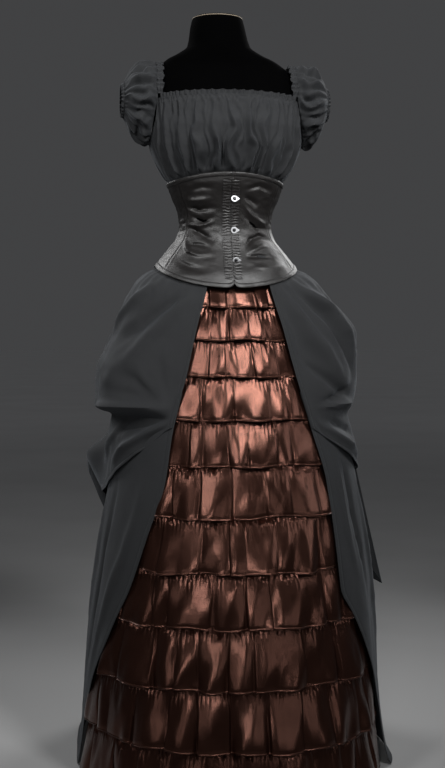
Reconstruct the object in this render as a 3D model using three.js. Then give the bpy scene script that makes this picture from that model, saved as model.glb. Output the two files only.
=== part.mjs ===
// Tiered bustle dress with an underbust corset, standing on a limbless dress form.
// Millimetres, +Z up. The origin is the middle of the stand base's underside.
// The front faces -Y. Angles round the dress are in degrees, 0 at the front and positive towards +X.
import * as THREE from 'three';

// Driving sizes
const CLOTH = 2;            // wall of every cloth piece
const SEAM = 0.15;          // half of the gap between neighbouring pieces
const LAY = 0.4;            // gap under a piece that lies on another
const BINDING_HIGH = 9;
const TRIM_THICK = 1.4;     // bindings and busk strips
const BUSK_WIDE = 19;
const WAIST_SEAM = 1160;    // top edge of both skirts, inside the corset
const FLOOR_CLEAR = 1.2;    // lowest cloth above the floor
const FORM_SIDES = 18;
const POLE_RADIUS = 16;
const BASE_RADIUS = 190;
const BASE_HIGH = 22;
const SIDE_SEAM = 60;       // corset front to side panel, degrees
const BACK_SEAM = 115;      // corset side to back panel, degrees
const DRAPE_SEAM = 112;     // overskirt side to back, degrees
const FOUNDATION_HEM = 10;  // lower edge of the underskirt's foundation
const SHELF_OUT = 800;      // height of the hitched fold's outer edge
const SHELF_IN = 780;       // height where the hitched fold turns down again

// Sections of the dress form, from its flat foot up to the neck
const FORM = [
  { z: 955, wide: 128, front: 90, back: 96, sway: 0 },
  { z: 962, wide: 138, front: 98, back: 106, sway: 0 },
  { z: 1000, wide: 145, front: 103, back: 112, sway: 0 },
  { z: 1050, wide: 141, front: 100, back: 108, sway: 0 },
  { z: 1110, wide: 114, front: 84, back: 84, sway: 0 },
  { z: 1160, wide: 94, front: 74, back: 71, sway: 0 },
  { z: 1188, wide: 97.9, front: 80.2, back: 76.2, sway: 0 },
  { z: 1225, wide: 100, front: 80, back: 76.5, sway: 0 },
  { z: 1255, wide: 111, front: 85, back: 81, sway: 0 },
  { z: 1285, wide: 119, front: 88, back: 84, sway: 0 },
  { z: 1320, wide: 130, front: 99, back: 88, sway: 0 },
  { z: 1385, wide: 154, front: 115, back: 95, sway: 0 },
  { z: 1465, wide: 158, front: 88, back: 86, sway: 0 },
  { z: 1500, wide: 157, front: 68, back: 78, sway: -1 },
  { z: 1522, wide: 150, front: 55, back: 70, sway: -3 },
  { z: 1537, wide: 135, front: 50, back: 64, sway: -6 },
  { z: 1550, wide: 118, front: 51, back: 62, sway: -9 },
  { z: 1562, wide: 93, front: 53, back: 60, sway: -12 },
  { z: 1579, wide: 69, front: 55, back: 58, sway: -14 },
  { z: 1634, wide: 56, front: 55, back: 55, sway: -17 },
  { z: 1642, wide: 52, front: 51, back: 51, sway: -17 },
];

// Sections of the gathered bodice
const BODICE = [
  { z: 1266, wide: 118, front: 90.8, back: 85.2, sway: 0 },
  { z: 1283, wide: 123.3, front: 94.8, back: 88.6, sway: 0 },
  { z: 1290, wide: 129, front: 102, back: 94, sway: 0 },
  { z: 1313, wide: 144, front: 113, back: 100, sway: 0 },
  { z: 1335, wide: 156, front: 122, back: 103, sway: 0 },
  { z: 1362, wide: 166, front: 128, back: 105, sway: 0 },
  { z: 1395, wide: 170, front: 128, back: 106, sway: 0 },
  { z: 1430, wide: 171, front: 117, back: 103, sway: 0 },
  { z: 1475, wide: 169, front: 101, back: 98, sway: 0 },
];

// Sections of the corset's outer face
const CORSET = [
  { z: 1040, wide: 186, front: 142, back: 148, sway: 0 },
  { z: 1053, wide: 181, front: 137, back: 142, sway: 0 },
  { z: 1080, wide: 170, front: 127, back: 130, sway: 0 },
  { z: 1104, wide: 154, front: 114, back: 116, sway: 0 },
  { z: 1119, wide: 143, front: 106, back: 106, sway: 0 },
  { z: 1139, wide: 126.5, front: 96, back: 95, sway: 0 },
  { z: 1165, wide: 107, front: 86, back: 82, sway: 0 },
  { z: 1188, wide: 101, front: 83, back: 79, sway: 0 },
  { z: 1207, wide: 102, front: 84, back: 80, sway: 0 },
  { z: 1225, wide: 106, front: 86, back: 82, sway: 0 },
  { z: 1250, wide: 117, front: 90.5, back: 86, sway: 0 },
  { z: 1282, wide: 127, front: 98, back: 92, sway: 0 },
  { z: 1302, wide: 129, front: 99, back: 94, sway: 0 },
];

// Corset edges: heights at the side seam, and how far they rise and drop in front and behind
const CORSET_TOP = 1282;
const CORSET_TOP_RISE = { front: 17, back: 8 };
const CORSET_BOTTOM = 1104;
const CORSET_POINT_DROP = { front: 51, back: 24 };
const CORSET_NOTCH_HIGH = 9;   // small upturned notch at the foot of the busk
const CORSET_NOTCH_WIDE = 4;
const CORSET_NARROWEST = 76;
const CORSET_EDGE_CURVE = 1.6; // power of the bottom edge's sweep down to its two points
const BINDING_BEYOND = 0.5;
const STRIP_GAP = 0.6;          // busk strip over the corset's front
const STRIP_INNER_EDGE = 0.4;   // half of the gap between the two strips
const BUSK_TOP_SHARE = 0.055;
const BUSK_BOTTOM_SHARE = 0.925;
const BODICE_TUCK = [9, 1, -11];  // its last rows, over and under the corset's top edge

// Sections of the underskirt's foundation, which the ruffles are sewn to
const SKIRT = [
  { z: 0, wide: 318, front: 330, back: 500, sway: 14 },
  { z: 150, wide: 308, front: 312, back: 455, sway: 14 },
  { z: 300, wide: 296, front: 292, back: 410, sway: 14 },
  { z: 430, wide: 280, front: 270, back: 368, sway: 14 },
  { z: 540, wide: 264, front: 248, back: 330, sway: 13 },
  { z: 650, wide: 248, front: 225, back: 290, sway: 12 },
  { z: 760, wide: 231, front: 199, back: 250, sway: 10 },
  { z: 860, wide: 212, front: 173, back: 212, sway: 8 },
  { z: 965, wide: 188, front: 144, back: 170, sway: 5 },
  { z: 1050, wide: 158, front: 116, back: 124, sway: 3 },
  { z: 1080, wide: 147, front: 107, back: 110, sway: 2 },
  { z: 1110, wide: 133, front: 97, back: 98, sway: 1 },
  { z: 1139, wide: 114, front: 86, back: 84, sway: 0 },
  { z: 1160, wide: 99, front: 78, back: 75, sway: 0 },
];

// Front edges of the overskirt: angle of the left and the right edge at each height
const OPENING = [
  { z: 0, left: -94, right: 80 },
  { z: 107, left: -88, right: 76 },
  { z: 200, left: -80, right: 67 },
  { z: 250, left: -74, right: 62 },
  { z: 300, left: -67, right: 57 },
  { z: 350, left: -62, right: 52 },
  { z: 395, left: -58, right: 46 },
  { z: 440, left: -53, right: 42 },
  { z: 515, left: -48, right: 42.5 },
  { z: 595, left: -43, right: 44 },
  { z: 685, left: -37, right: 40.5 },
  { z: 765, left: -36, right: 36.5 },
  { z: 870, left: -29.5, right: 31.5 },
  { z: 965, left: -25, right: 28.5 },
  { z: 1053, left: -20, right: 26 },
  { z: 1160, left: -16, right: 24 },
];

// Ruffle tiers from the waist down: hem height in front and the folds that show there
const TIERS = [
  { hem: 1011, folds: [-19, -6, 14.5, 23] },
  { hem: 942, folds: [-17, -6, 7, 18] },
  { hem: 866, folds: [-18, -8, 7.5, 22] },
  { hem: 777, folds: [-22.5, -5, 14, 25] },
  { hem: 683, folds: [-28, -21, -8, 1, 15.5, 25.5] },
  { hem: 581, folds: [-35, -22, -7.5, 8.5, 21, 36] },
  { hem: 472, folds: [-40, -21.5, -9, -1, 11, 34] },
  { hem: 363, folds: [-41, -35, -17, -2.5, 8, 34] },
  { hem: 244, folds: [-57, -40, -30, -21.5, -10, 0, 21.5, 38] },
  { hem: 125, folds: [-63, -48.5, -33, -21, -9, 5, 17.5, 32] },
  { hem: 12, folds: [-60, -45, -31, -18, -6, 9, 22, 36] },
];
const FIRST_HEADING = 1077;
const HEADING_COVER = 6;       // how far a hem hangs over the next tier's heading
const HEADING_HIGH = 9;        // flat stitched strip at a tier's top
const RUFFLE_BEYOND = 8;       // degrees that a tier runs on under the overskirt
const RUFFLE_SPACING = 70;     // mean distance between folds out of sight
const RUFFLE_THICK = 1.6;
const WIDEST_STEP = 11;        // degrees between two columns of a tier at most
const FOLD_HALF_WIDE = 6;
const RUFFLE_HEADING = 3.4;    // outset of a tier's heading from the foundation
const RUFFLE_HEM = 11.4;       // outset of its hem
const FOLD_TOP_DEEP = 0.9;
const FOLD_HEM_DEEP = 5.6;

// Overskirt's upper layer: outset from the foundation at the left side, right side and three places behind.
// Heights are those at the side; elsewhere the rows slide with the corset's lower edge.
const UPPER = [
  { z: 1091, left: 30, right: 32, backLeft: 30, back: 26, backRight: 32 },
  { z: 1062, left: 50, right: 53, backLeft: 54, back: 54, backRight: 56 },
  { z: 1015, left: 57, right: 69, backLeft: 64, back: 80, backRight: 72 },
  { z: 965, left: 57, right: 79, backLeft: 68, back: 94, backRight: 80 },
  { z: 920, left: 70, right: 78, backLeft: 78, back: 99, backRight: 80 },
  { z: 886, left: 80, right: 74, backLeft: 82, back: 98, backRight: 75 },
  { z: 845, left: 76, right: 64, backLeft: 77, back: 89, backRight: 65 },
  { z: SHELF_OUT, left: 68, right: 46, backLeft: 60, back: 72, backRight: 50 },
];

// The same below the hitched fold; share runs from the fold (0) to the hem (1)
const SWAG = [
  { share: 0, left: 29, right: 35, backLeft: 34, back: 50, backRight: 40 },
  { share: 0.25, left: 26, right: 35, backLeft: 46, back: 78, backRight: 54 },
  { share: 0.5, left: 25.5, right: 36, backLeft: 90, back: 94, backRight: 68 },
  { share: 0.8, left: 25, right: 36, backLeft: 58, back: 82, backRight: 84 },
  { share: 1, left: 24.5, right: 36, backLeft: 32, back: 62, backRight: 98 },
];
// Pointed corner of the back drape that stands out behind the right side
const FLAP = { angle: 116, wide: 12, reach: 54, from: 480, to: 352 };

// The hitched fold's lip in front of the left side: extra outset at two heights
const LIP = [
  { z: 845, out: 5 },
  { z: SHELF_OUT, out: 13 },
];
const LIP_END = 62;             // angle where the lip has run into the fuller side
const UPPER_EDGE_OUT = 18.4;    // outset of the upper layer along its front edge
const WAIST_OUT = 3.6;          // its outset at the waist seam
const UNDER_CORSET = 1.7;       // its gap under the corset
const UPPER_HEM = [
  { angle: -180, z: 455 },
  { angle: -145, z: 500 },
  { angle: -113, z: 556 },
  { angle: -112, z: 590 },
  { angle: -92, z: 618 },
  { angle: -70, z: 668 },
  { angle: -50, z: 724 },
  { angle: -33, z: 766 },
  { angle: 33, z: 762 },
  { angle: 50, z: 728 },
  { angle: 70, z: 682 },
  { angle: 90, z: 653 },
  { angle: 112, z: 640 },
  { angle: 113, z: 352 },
  { angle: 130, z: 400 },
  { angle: 155, z: 436 },
  { angle: 180, z: 455 },
];

// Overskirt's long lower layer: outset at the sides and behind
const LOWER = [
  { z: FLOOR_CLEAR + CLOTH, left: 19, right: 24, back: 30, floor: 1 },
  { z: 18, left: 18, right: 22, back: 28, floor: 0.7 },
  { z: 50, left: 17, right: 20, back: 24, floor: 0.4 },
  { z: 110, left: 17, right: 17, back: 22, floor: 0.16 },
  { z: 180, left: 16.5, right: 16, back: 20, floor: 0.05 },
  { z: 245, left: 16.5, right: 16, back: 20, floor: 0.01 },
  { z: 305, left: 15.5, right: 17, back: 20, floor: 0 },
  { z: 365, left: 15.5, right: 19, back: 21, floor: 0 },
  { z: 430, left: 16, right: 23, back: 22, floor: 0 },
  { z: 540, left: 18, right: 27, back: 24, floor: 0 },
  { z: 650, left: 18, right: 27, back: 24, floor: 0 },
  { z: 745, left: 17.5, right: 20, back: 22, floor: 0 },
  { z: 835, left: 16, right: 16, back: 18, floor: 0 },
];
const LOWER_EDGE_OUT = 14.8;

// How far the hem spreads over the floor at each angle, swept towards the right at the back
const TRAIN = [
  { angle: -180, reach: 215 },
  { angle: -150, reach: 130 },
  { angle: -125, reach: 44 },
  { angle: -100, reach: 7 },
  { angle: -75, reach: 2 },
  { angle: 60, reach: 6 },
  { angle: 85, reach: 24 },
  { angle: 107, reach: 50 },
  { angle: 130, reach: 120 },
  { angle: 155, reach: 195 },
  { angle: 180, reach: 215 },
];

// Long soft folds of the overskirt: ridge height at an angle, widening downwards
const DRAPE_FOLDS = [
  { angle: -150, wide: 9, high: 7 },
  { angle: -128, wide: 8, high: 6 },
  { angle: -98, wide: 8, high: 4 },
  { angle: -68, wide: 7, high: 4 },
  { angle: 62, wide: 7, high: 4 },
  { angle: 84, wide: 8, high: 5 },
  { angle: 126, wide: 8, high: 6 },
  { angle: 147, wide: 9, high: 7 },
  { angle: 172, wide: 9, high: 7 },
];

// Gathers of the bodice: ridge angles round the body
const FRONT_GATHERS = [-80, -66, -52, -38.5, -26, -14, -1.5, 14, 25.5, 39, 52, 66, 80];
const BACK_GATHERS = [99, 116, 132, 149, 164, 181, 197, 212, 229, 245, 261];
const GATHER_HIGH = 3;
const ARMHOLE_FRONT = 64;
const ARMHOLE_BACK = 118;
const ARMHOLE_DEEP = 92;
const NECKLINE_FRONT = 1462;
const NECKLINE_BACK = 1468;
const NECKLINE_CORNER = 1458;

// Sections of a puff sleeve from its root (0) to its cuff (1)
const SLEEVE = [
  { along: 0, high: 88, deep: 50, rise: 1453 },
  { along: 0.14, high: 88, deep: 58, rise: 1453 },
  { along: 0.34, high: 84, deep: 65, rise: 1454 },
  { along: 0.56, high: 76, deep: 66, rise: 1457 },
  { along: 0.78, high: 62, deep: 58, rise: 1459 },
  { along: 0.92, high: 47, deep: 47, rise: 1460 },
  { along: 1, high: 38, deep: 38, rise: 1459 },
];
const SLEEVE_GATHERS = 10;
const SLEEVE_RIPPLE = 1.6;
const SLEEVE_ROOT_GAP = 0.7;
const SLEEVE_ROOT_LEAN = 0.03; // how much that gap opens for each mm towards the front and back
const SHOULDER_REACH = 151;
const CUFF_REACH = 221;
const FRILL_HIGH = 9;
const FRILL_THICK = 1.6;
const CUFF_HIGH = 6;
const FRILL_END = 59;       // angle where the neckline frill stops short of the shoulder frill

// The three busk fastenings: height, and gap over the strip, wider where the waist curves in
const BUSK = [
  { z: 1243, gap: 0.6 },
  { z: 1177, gap: 1 },
  { z: 1112, gap: 0.6 },
];
const LOOP_RADIUS = 7;
const LOOP_POINT = 12;
const LOOP_HOLE = 3.8;
const LOOP_THICK = 1.6;
const STUD = [
  { radius: 0, high: 0 },
  { radius: 1.9, high: 0 },
  { radius: 1.9, high: 1.6 },
  { radius: 3.1, high: 1.9 },
  { radius: 3.1, high: 2.7 },
  { radius: 1.8, high: 3.3 },
  { radius: 0, high: 3.4 },
];

const radians = THREE.MathUtils.degToRad;

// Value of one column of a table at a place along its key column, joined by smooth steps
function column(table, key, name, at) {
  const rows = table[0][key] < table[table.length - 1][key] ? table : [...table].reverse();
  if (at <= rows[0][key]) return rows[0][name];
  const next = rows.findIndex((row) => row[key] >= at);
  if (next < 0) return rows[rows.length - 1][name];
  const low = rows[next - 1];
  const high = rows[next];
  const span = high[key] - low[key];
  const before = rows[Math.max(next - 2, 0)];
  const after = rows[Math.min(next + 1, rows.length - 1)];
  const rise = (high[name] - low[name]) / span;
  const slope = (a, b) => (b[key] > a[key] ? (b[name] - a[name]) / (b[key] - a[key]) : rise);
  const tame = (side) => (side * rise <= 0 ? 0 : 2 * side * rise / (side + rise));
  const startSlope = tame(slope(before, low));
  const endSlope = tame(slope(high, after));
  const t = (at - low[key]) / span;
  const square = t * t;
  const cube = square * t;
  return (2 * cube - 3 * square + 1) * low[name] + (cube - 2 * square + t) * span * startSlope
    + (3 * square - 2 * cube) * high[name] + (cube - square) * span * endSlope;
}

// Point of an oval section at an angle, moved out by an outset. Its out is the way that it was moved.
function onSection(table, angle, z, outset = 0) {
  const a = radians(angle);
  const deep = column(table, 'z', Math.cos(a) > 0 ? 'front' : 'back', z);
  const wide = column(table, 'z', 'wide', z);
  const sway = column(table, 'z', 'sway', z);
  const point = new THREE.Vector3(sway + (wide + outset) * Math.sin(a), -(deep + outset) * Math.cos(a), z);
  point.out = new THREE.Vector3(Math.sin(a), -Math.cos(a), 0);
  return point;
}

// Evenly spaced values with both ends included
function steps(from, to, count) {
  return Array.from({ length: count + 1 }, (_, i) => from + (to - from) * i / count);
}

// Smooth 0 to 1 between two values, which may run down
function ease(at, from, to) {
  return THREE.MathUtils.smoothstep((at - from) / (to - from), 0, 1);
}

// Closed mesh from vertices and faces
function meshFrom(points, faces) {
  const geometry = new THREE.BufferGeometry();
  const places = points.flatMap((p) => [p.x, p.y, p.z]);
  geometry.setAttribute('position', new THREE.Float32BufferAttribute(places, 3));
  geometry.setIndex(faces.flat());
  geometry.computeVertexNormals();
  return geometry;
}

// Wall of cloth under a grid of outer points. Rows run down and columns towards growing angles, so the
// outside is rows cross columns. The wall grows inwards, square to each column and never sideways, so
// that neighbouring pieces keep their seam gap. A looped wall closes on itself along its columns.
function wall(grid, { thick = CLOTH, loop = false } = {}) {
  const rows = grid.length;
  const columns = grid[0].length;
  const wrap = (j) => (loop ? (j + columns) % columns : THREE.MathUtils.clamp(j, 0, columns - 1));
  const point = (i, j) => grid[THREE.MathUtils.clamp(i, 0, rows - 1)][wrap(j)];
  const outer = [];
  const inner = [];
  for (let i = 0; i < rows; i += 1) {
    for (let j = 0; j < columns; j += 1) {
      const down = point(i + 1, j).clone().sub(point(i - 1, j)).normalize();
      const { out } = point(i, j);
      const normal = out.clone().addScaledVector(down, -out.dot(down)).normalize();
      outer.push(point(i, j));
      inner.push(point(i, j).clone().addScaledVector(normal, -thick));
    }
  }
  const face = (i, j) => i * columns + wrap(j);
  const back = (i, j) => outer.length + i * columns + wrap(j);
  const faces = [];
  const quad = (a, b, c, d) => faces.push([a, b, c], [a, c, d]);
  const lastColumn = loop ? columns : columns - 1;
  for (let i = 0; i < rows - 1; i += 1) {
    for (let j = 0; j < lastColumn; j += 1) {
      quad(face(i, j), face(i + 1, j), face(i + 1, j + 1), face(i, j + 1));
      faces.push([back(i, j), back(i + 1, j + 1), back(i + 1, j)]);
      faces.push([back(i, j), back(i, j + 1), back(i + 1, j + 1)]);
    }
  }
  for (let j = 0; j < lastColumn; j += 1) {
    quad(face(0, j), face(0, j + 1), back(0, j + 1), back(0, j));
    quad(face(rows - 1, j + 1), face(rows - 1, j), back(rows - 1, j), back(rows - 1, j + 1));
  }
  if (!loop) {
    for (let i = 0; i < rows - 1; i += 1) {
      quad(face(i + 1, 0), face(i, 0), back(i, 0), back(i + 1, 0));
      quad(face(i, columns - 1), face(i + 1, columns - 1), back(i + 1, columns - 1), back(i, columns - 1));
    }
  }
  return meshFrom([...outer, ...inner], faces);
}

// Solid through a stack of looped sections, with flat ends
function loft(sections) {
  const count = sections[0].length;
  const points = sections.flat();
  const faces = [];
  for (let i = 0; i < sections.length - 1; i += 1) {
    for (let j = 0; j < count; j += 1) {
      const k = (j + 1) % count;
      const low = i * count;
      const high = low + count;
      faces.push([low + j, low + k, high + k], [low + j, high + k, high + j]);
    }
  }
  const top = (sections.length - 1) * count;
  for (let j = 1; j < count - 1; j += 1) {
    faces.push([0, j + 1, j], [top, top + j, top + j + 1]);
  }
  return meshFrom(points, faces);
}

const COLOURS = {
  velvet: { color: 0x060607, roughness: 0.95, metalness: 0 },
  cotton: { color: 0x1d1f22, roughness: 0.9, metalness: 0 },
  satin: { color: 0x111114, roughness: 0.42, metalness: 0 },
  copper: { color: 0x5a3222, roughness: 0.38, metalness: 0 },
  steel: { color: 0xc9ccd0, roughness: 0.25, metalness: 1 },
  stand: { color: 0x17181a, roughness: 0.5, metalness: 0.6 },
};
const dress = new THREE.Group();

function add(name, colour, geometry) {
  const mesh = new THREE.Mesh(geometry, new THREE.MeshStandardMaterial(COLOURS[colour]));
  mesh.name = name;
  dress.add(mesh);
  return mesh;
}

// Dress form, its pole and its round foot
function buildForm() {
  const around = steps(0, 360, FORM_SIDES).slice(0, FORM_SIDES);
  const sections = FORM.map(({ z }) => around.map((angle) => onSection(FORM, angle, z)));
  add('form_torso', 'velvet', loft(sections));
  const poleHigh = FORM[0].z - BASE_HIGH - 2 * SEAM;
  const pole = add('stand_pole', 'stand', new THREE.CylinderGeometry(POLE_RADIUS, POLE_RADIUS, poleHigh, 20));
  pole.rotation.x = Math.PI / 2;
  pole.position.z = BASE_HIGH + SEAM + poleHigh / 2;
  const rim = new THREE.Vector2(BASE_RADIUS, 0);
  const shoulder = new THREE.Vector2(BASE_RADIUS, BASE_HIGH * 0.4);
  const profile = [new THREE.Vector2(0, 0), rim, shoulder];
  profile.push(new THREE.Vector2(BASE_RADIUS * 0.93, BASE_HIGH * 0.75));
  profile.push(new THREE.Vector2(BASE_RADIUS * 0.2, BASE_HIGH), new THREE.Vector2(0, BASE_HIGH));
  const base = add('stand_base', 'stand', new THREE.LatheGeometry(profile, 32));
  base.rotation.x = Math.PI / 2;
}

// Corset edges: height of the top and bottom edge at an angle
function corsetTop(angle) {
  const c = Math.cos(radians(angle));
  return CORSET_TOP + (c > 0 ? CORSET_TOP_RISE.front : CORSET_TOP_RISE.back) * c * c;
}

function corsetBottom(angle) {
  const c = Math.cos(radians(angle));
  const aside = Math.abs(onSection(CORSET, angle, 1080).x);
  const notch = c > 0 ? CORSET_NOTCH_HIGH * Math.exp(-aside / CORSET_NOTCH_WIDE) : 0;
  const drop = c > 0 ? CORSET_POINT_DROP.front : CORSET_POINT_DROP.back;
  return CORSET_BOTTOM - drop * Math.abs(c) ** CORSET_EDGE_CURVE + notch;
}

// Grid over the corset between two angles and two shares of its height, moved out
function corsetGrid(angles, heights, outset) {
  return heights.map((heightAt) => angles.map((angle) => onSection(CORSET, angle, heightAt(angle), outset)));
}

// Angle moved on by a gap measured at the corset's narrowest
function insetAngle(angle, gap) {
  return angle + THREE.MathUtils.radToDeg(gap / CORSET_NARROWEST);
}

const CORSET_ANGLES = {
  front: [0, 2, 5, 12, 24, 36, 48, SIDE_SEAM],
  side: steps(SIDE_SEAM, BACK_SEAM, 5),
  back: steps(BACK_SEAM, 180, 6),
};
const CORSET_SHARES = steps(0, 1, 8);

function corsetHeight(angle, share) {
  return THREE.MathUtils.lerp(corsetTop(angle), corsetBottom(angle), share);
}

function buildCorset() {
  const rows = CORSET_SHARES.map((share) => (angle) => corsetHeight(angle, share));
  for (const [name, angles] of Object.entries(CORSET_ANGLES)) {
    const inset = [...angles];
    inset[0] = insetAngle(angles[0], SEAM);
    inset[inset.length - 1] = insetAngle(angles[angles.length - 1], -SEAM);
    const mirrored = inset.map((angle) => -angle).reverse();
    add(`corset_${name}_r`, 'satin', wall(corsetGrid(inset, rows, 0)));
    add(`corset_${name}_l`, 'satin', wall(corsetGrid(mirrored, rows, 0)));
  }
  const bindOut = LAY + TRIM_THICK;
  const half = [...CORSET_ANGLES.front, ...CORSET_ANGLES.side.slice(1), ...CORSET_ANGLES.back.slice(1)];
  const around = [...half, ...half.slice(0, -1).reverse().map((angle) => 360 - angle)];
  around[0] = insetAngle(0, SEAM);
  around[around.length - 1] = 360 - around[0];
  const bindTop = [(a) => corsetTop(a) + BINDING_BEYOND, (a) => corsetTop(a) - BINDING_HIGH];
  const bindBottom = [(a) => corsetBottom(a) + BINDING_HIGH, (a) => corsetBottom(a) - BINDING_BEYOND];
  add('corset_binding_top', 'satin', wall(corsetGrid(around, bindTop, bindOut), { thick: TRIM_THICK }));
  add('corset_binding_bottom', 'satin', wall(corsetGrid(around, bindBottom, bindOut), { thick: TRIM_THICK }));
}

// Point of the corset's front at a distance from the centre line
function corsetFront(x, z, outset) {
  const wide = column(CORSET, 'z', 'wide', z) + outset;
  return onSection(CORSET, THREE.MathUtils.radToDeg(Math.asin(x / wide)), z, outset);
}

function buildBusk() {
  const stripOut = STRIP_GAP + TRIM_THICK;
  const shares = [BUSK_TOP_SHARE, ...CORSET_SHARES.slice(1, -1), BUSK_BOTTOM_SHARE];
  for (const side of [-1, 1]) {
    const offsets = [STRIP_INNER_EDGE, BUSK_WIDE / 2, BUSK_WIDE].map((x) => side * x);
    if (side < 0) offsets.reverse();
    const grid = shares.map((share) => offsets.map((x) => {
      const wide = column(CORSET, 'z', 'wide', corsetHeight(0, share));
      const rough = THREE.MathUtils.radToDeg(Math.asin(x / wide));
      return corsetFront(x, corsetHeight(rough, share), stripOut);
    }));
    add(`busk_strip_${side < 0 ? 'l' : 'r'}`, 'satin', wall(grid, { thick: TRIM_THICK }));
  }
  BUSK.forEach(({ z: height, gap }, index) => {
    const centre = LOOP_RADIUS - 0.5;
    const outline = new THREE.Shape();
    const tangent = Math.acos(LOOP_RADIUS / LOOP_POINT);
    outline.absarc(0, 0, LOOP_RADIUS, tangent, 2 * Math.PI - tangent, false);
    outline.lineTo(LOOP_POINT, 0);
    outline.closePath();
    const hole = new THREE.Path();
    hole.absarc(0, 0, LOOP_HOLE, 0, 2 * Math.PI, true);
    outline.holes.push(hole);
    const extrusion = { depth: LOOP_THICK, bevelEnabled: false, curveSegments: 5 };
    const plate = new THREE.ExtrudeGeometry(outline, extrusion);
    const seat = stripOut + gap;
    const above = corsetFront(centre, height + LOOP_RADIUS, seat);
    const below = corsetFront(centre, height - LOOP_RADIUS, seat);
    const place = above.clone().add(below).multiplyScalar(0.5);
    const lean = Math.atan2(above.y - below.y, 2 * LOOP_RADIUS);
    const turn = Math.atan2(corsetFront(centre + 5, height, seat).y - place.y, 5);
    const loop = add(`busk_loop_${index + 1}`, 'steel', plate);
    loop.position.set(place.x, place.y, place.z);
    loop.rotation.set(Math.PI / 2 - lean, 0, turn, 'ZXY');
    const studProfile = STUD.map(({ radius, high }) => new THREE.Vector2(radius, high));
    const stud = add(`busk_stud_${index + 1}`, 'steel', new THREE.LatheGeometry(studProfile, 8));
    stud.position.copy(loop.position);
    stud.rotation.set(Math.PI - lean, 0, turn, 'ZXY');
  });
}

// Height of the bodice's top edge: neckline in front and behind, armholes at the sides
function bodiceTop(angle) {
  const aside = Math.abs(THREE.MathUtils.euclideanModulo(angle + 180, 360) - 180);
  const middle = (ARMHOLE_FRONT + ARMHOLE_BACK) / 2;
  const half = (ARMHOLE_BACK - ARMHOLE_FRONT) / 2;
  if (aside <= ARMHOLE_FRONT) {
    return NECKLINE_FRONT - (NECKLINE_FRONT - NECKLINE_CORNER) * (aside / ARMHOLE_FRONT) ** 2;
  }
  if (aside >= ARMHOLE_BACK) {
    return NECKLINE_BACK - (NECKLINE_BACK - NECKLINE_CORNER) * ((180 - aside) / (180 - ARMHOLE_BACK)) ** 2;
  }
  return NECKLINE_CORNER - ARMHOLE_DEEP * Math.sqrt(1 - ((aside - middle) / half) ** 2);
}

// Bodice columns sit on each gather's ridge and in the trough between two ridges
function bodiceGrid(ridges, from, to) {
  const marks = [{ angle: from, crest: 0 }];
  ridges.forEach((angle, index) => {
    marks.push({ angle, crest: 1 });
    if (index < ridges.length - 1) marks.push({ angle: (angle + ridges[index + 1]) / 2, crest: -1 });
  });
  marks.push({ angle: to, crest: 0 });
  const rows = [0, 0.16, 0.36, 0.58, 0.8, 1].map((share) => (angle) => {
    return THREE.MathUtils.lerp(bodiceTop(angle), corsetTop(angle) + BODICE_TUCK[0], share);
  });
  BODICE_TUCK.slice(1).forEach((over) => rows.push((angle) => corsetTop(angle) + over));
  return rows.map((heightAt) => marks.map(({ angle, crest }) => {
    const z = heightAt(angle);
    const lift = corsetTop(angle) - CORSET_TOP;
    const nearArm = ease(1 - Math.abs(Math.sin(radians(angle))), 0.02, 0.2);
    const full = ease(z - lift, 1284, 1300) * (1 - 0.6 * ease(z, 1400, 1462));
    const gather = GATHER_HIGH * nearArm * full * crest;
    const point = onSection(BODICE, angle, z - lift * ease(z, 1420, 1290), gather);
    point.z = z;
    return point;
  }));
}

function buildBodice() {
  const gap = 0.12;
  add('bodice_front', 'cotton', wall(bodiceGrid(FRONT_GATHERS, -90 + gap, 90 - gap)));
  add('bodice_back', 'cotton', wall(bodiceGrid(BACK_GATHERS, 90 + gap, 270 - gap)));
  for (const [name, middle] of [['front', 0], ['back', 180]]) {
    const angles = steps(middle - FRILL_END, middle + FRILL_END, 14);
    const rows = [FRILL_HIGH + 0.5, 0.5].map((rise) => angles.map((angle) => {
      const point = onSection(BODICE, angle, bodiceTop(angle));
      point.z += rise;
      return point;
    }));
    add(`neckline_frill_${name}`, 'cotton', wall(rows, { thick: FRILL_THICK }));
  }
}

// Side of the bodice at a depth and height, where a sleeve's root sits
function sleeveRoot(y, z) {
  const low = Math.min(z, NECKLINE_FRONT);
  const deep = column(BODICE, 'z', y < 0 ? 'front' : 'back', low);
  const side = column(BODICE, 'z', 'wide', low) * Math.sqrt(Math.max(1 - (y / deep) ** 2, 0));
  const gap = SLEEVE_ROOT_GAP + SLEEVE_ROOT_LEAN * Math.abs(y);
  return THREE.MathUtils.lerp(side + gap, SHOULDER_REACH, ease(z, 1450, 1515));
}

// Point of a sleeve: along from root to cuff, and an angle round it with 0 on top and 90 in front
function sleevePoint(side, along, round, outset = 0) {
  const high = column(SLEEVE, 'along', 'high', along) + outset;
  const deep = column(SLEEVE, 'along', 'deep', along) + outset;
  const rise = column(SLEEVE, 'along', 'rise', along);
  const rootHigh = SLEEVE[0].high * Math.cos(radians(round));
  const rootDeep = -SLEEVE[0].deep * Math.sin(radians(round));
  const root = sleeveRoot(rootDeep, SLEEVE[0].rise + rootHigh);
  const y = -deep * Math.sin(radians(round));
  const z = rise + high * Math.cos(radians(round));
  const point = new THREE.Vector3(side * THREE.MathUtils.lerp(root, CUFF_REACH, along), y, z);
  point.out = new THREE.Vector3(0, -Math.sin(radians(round)), Math.cos(radians(round)));
  return point;
}

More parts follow.
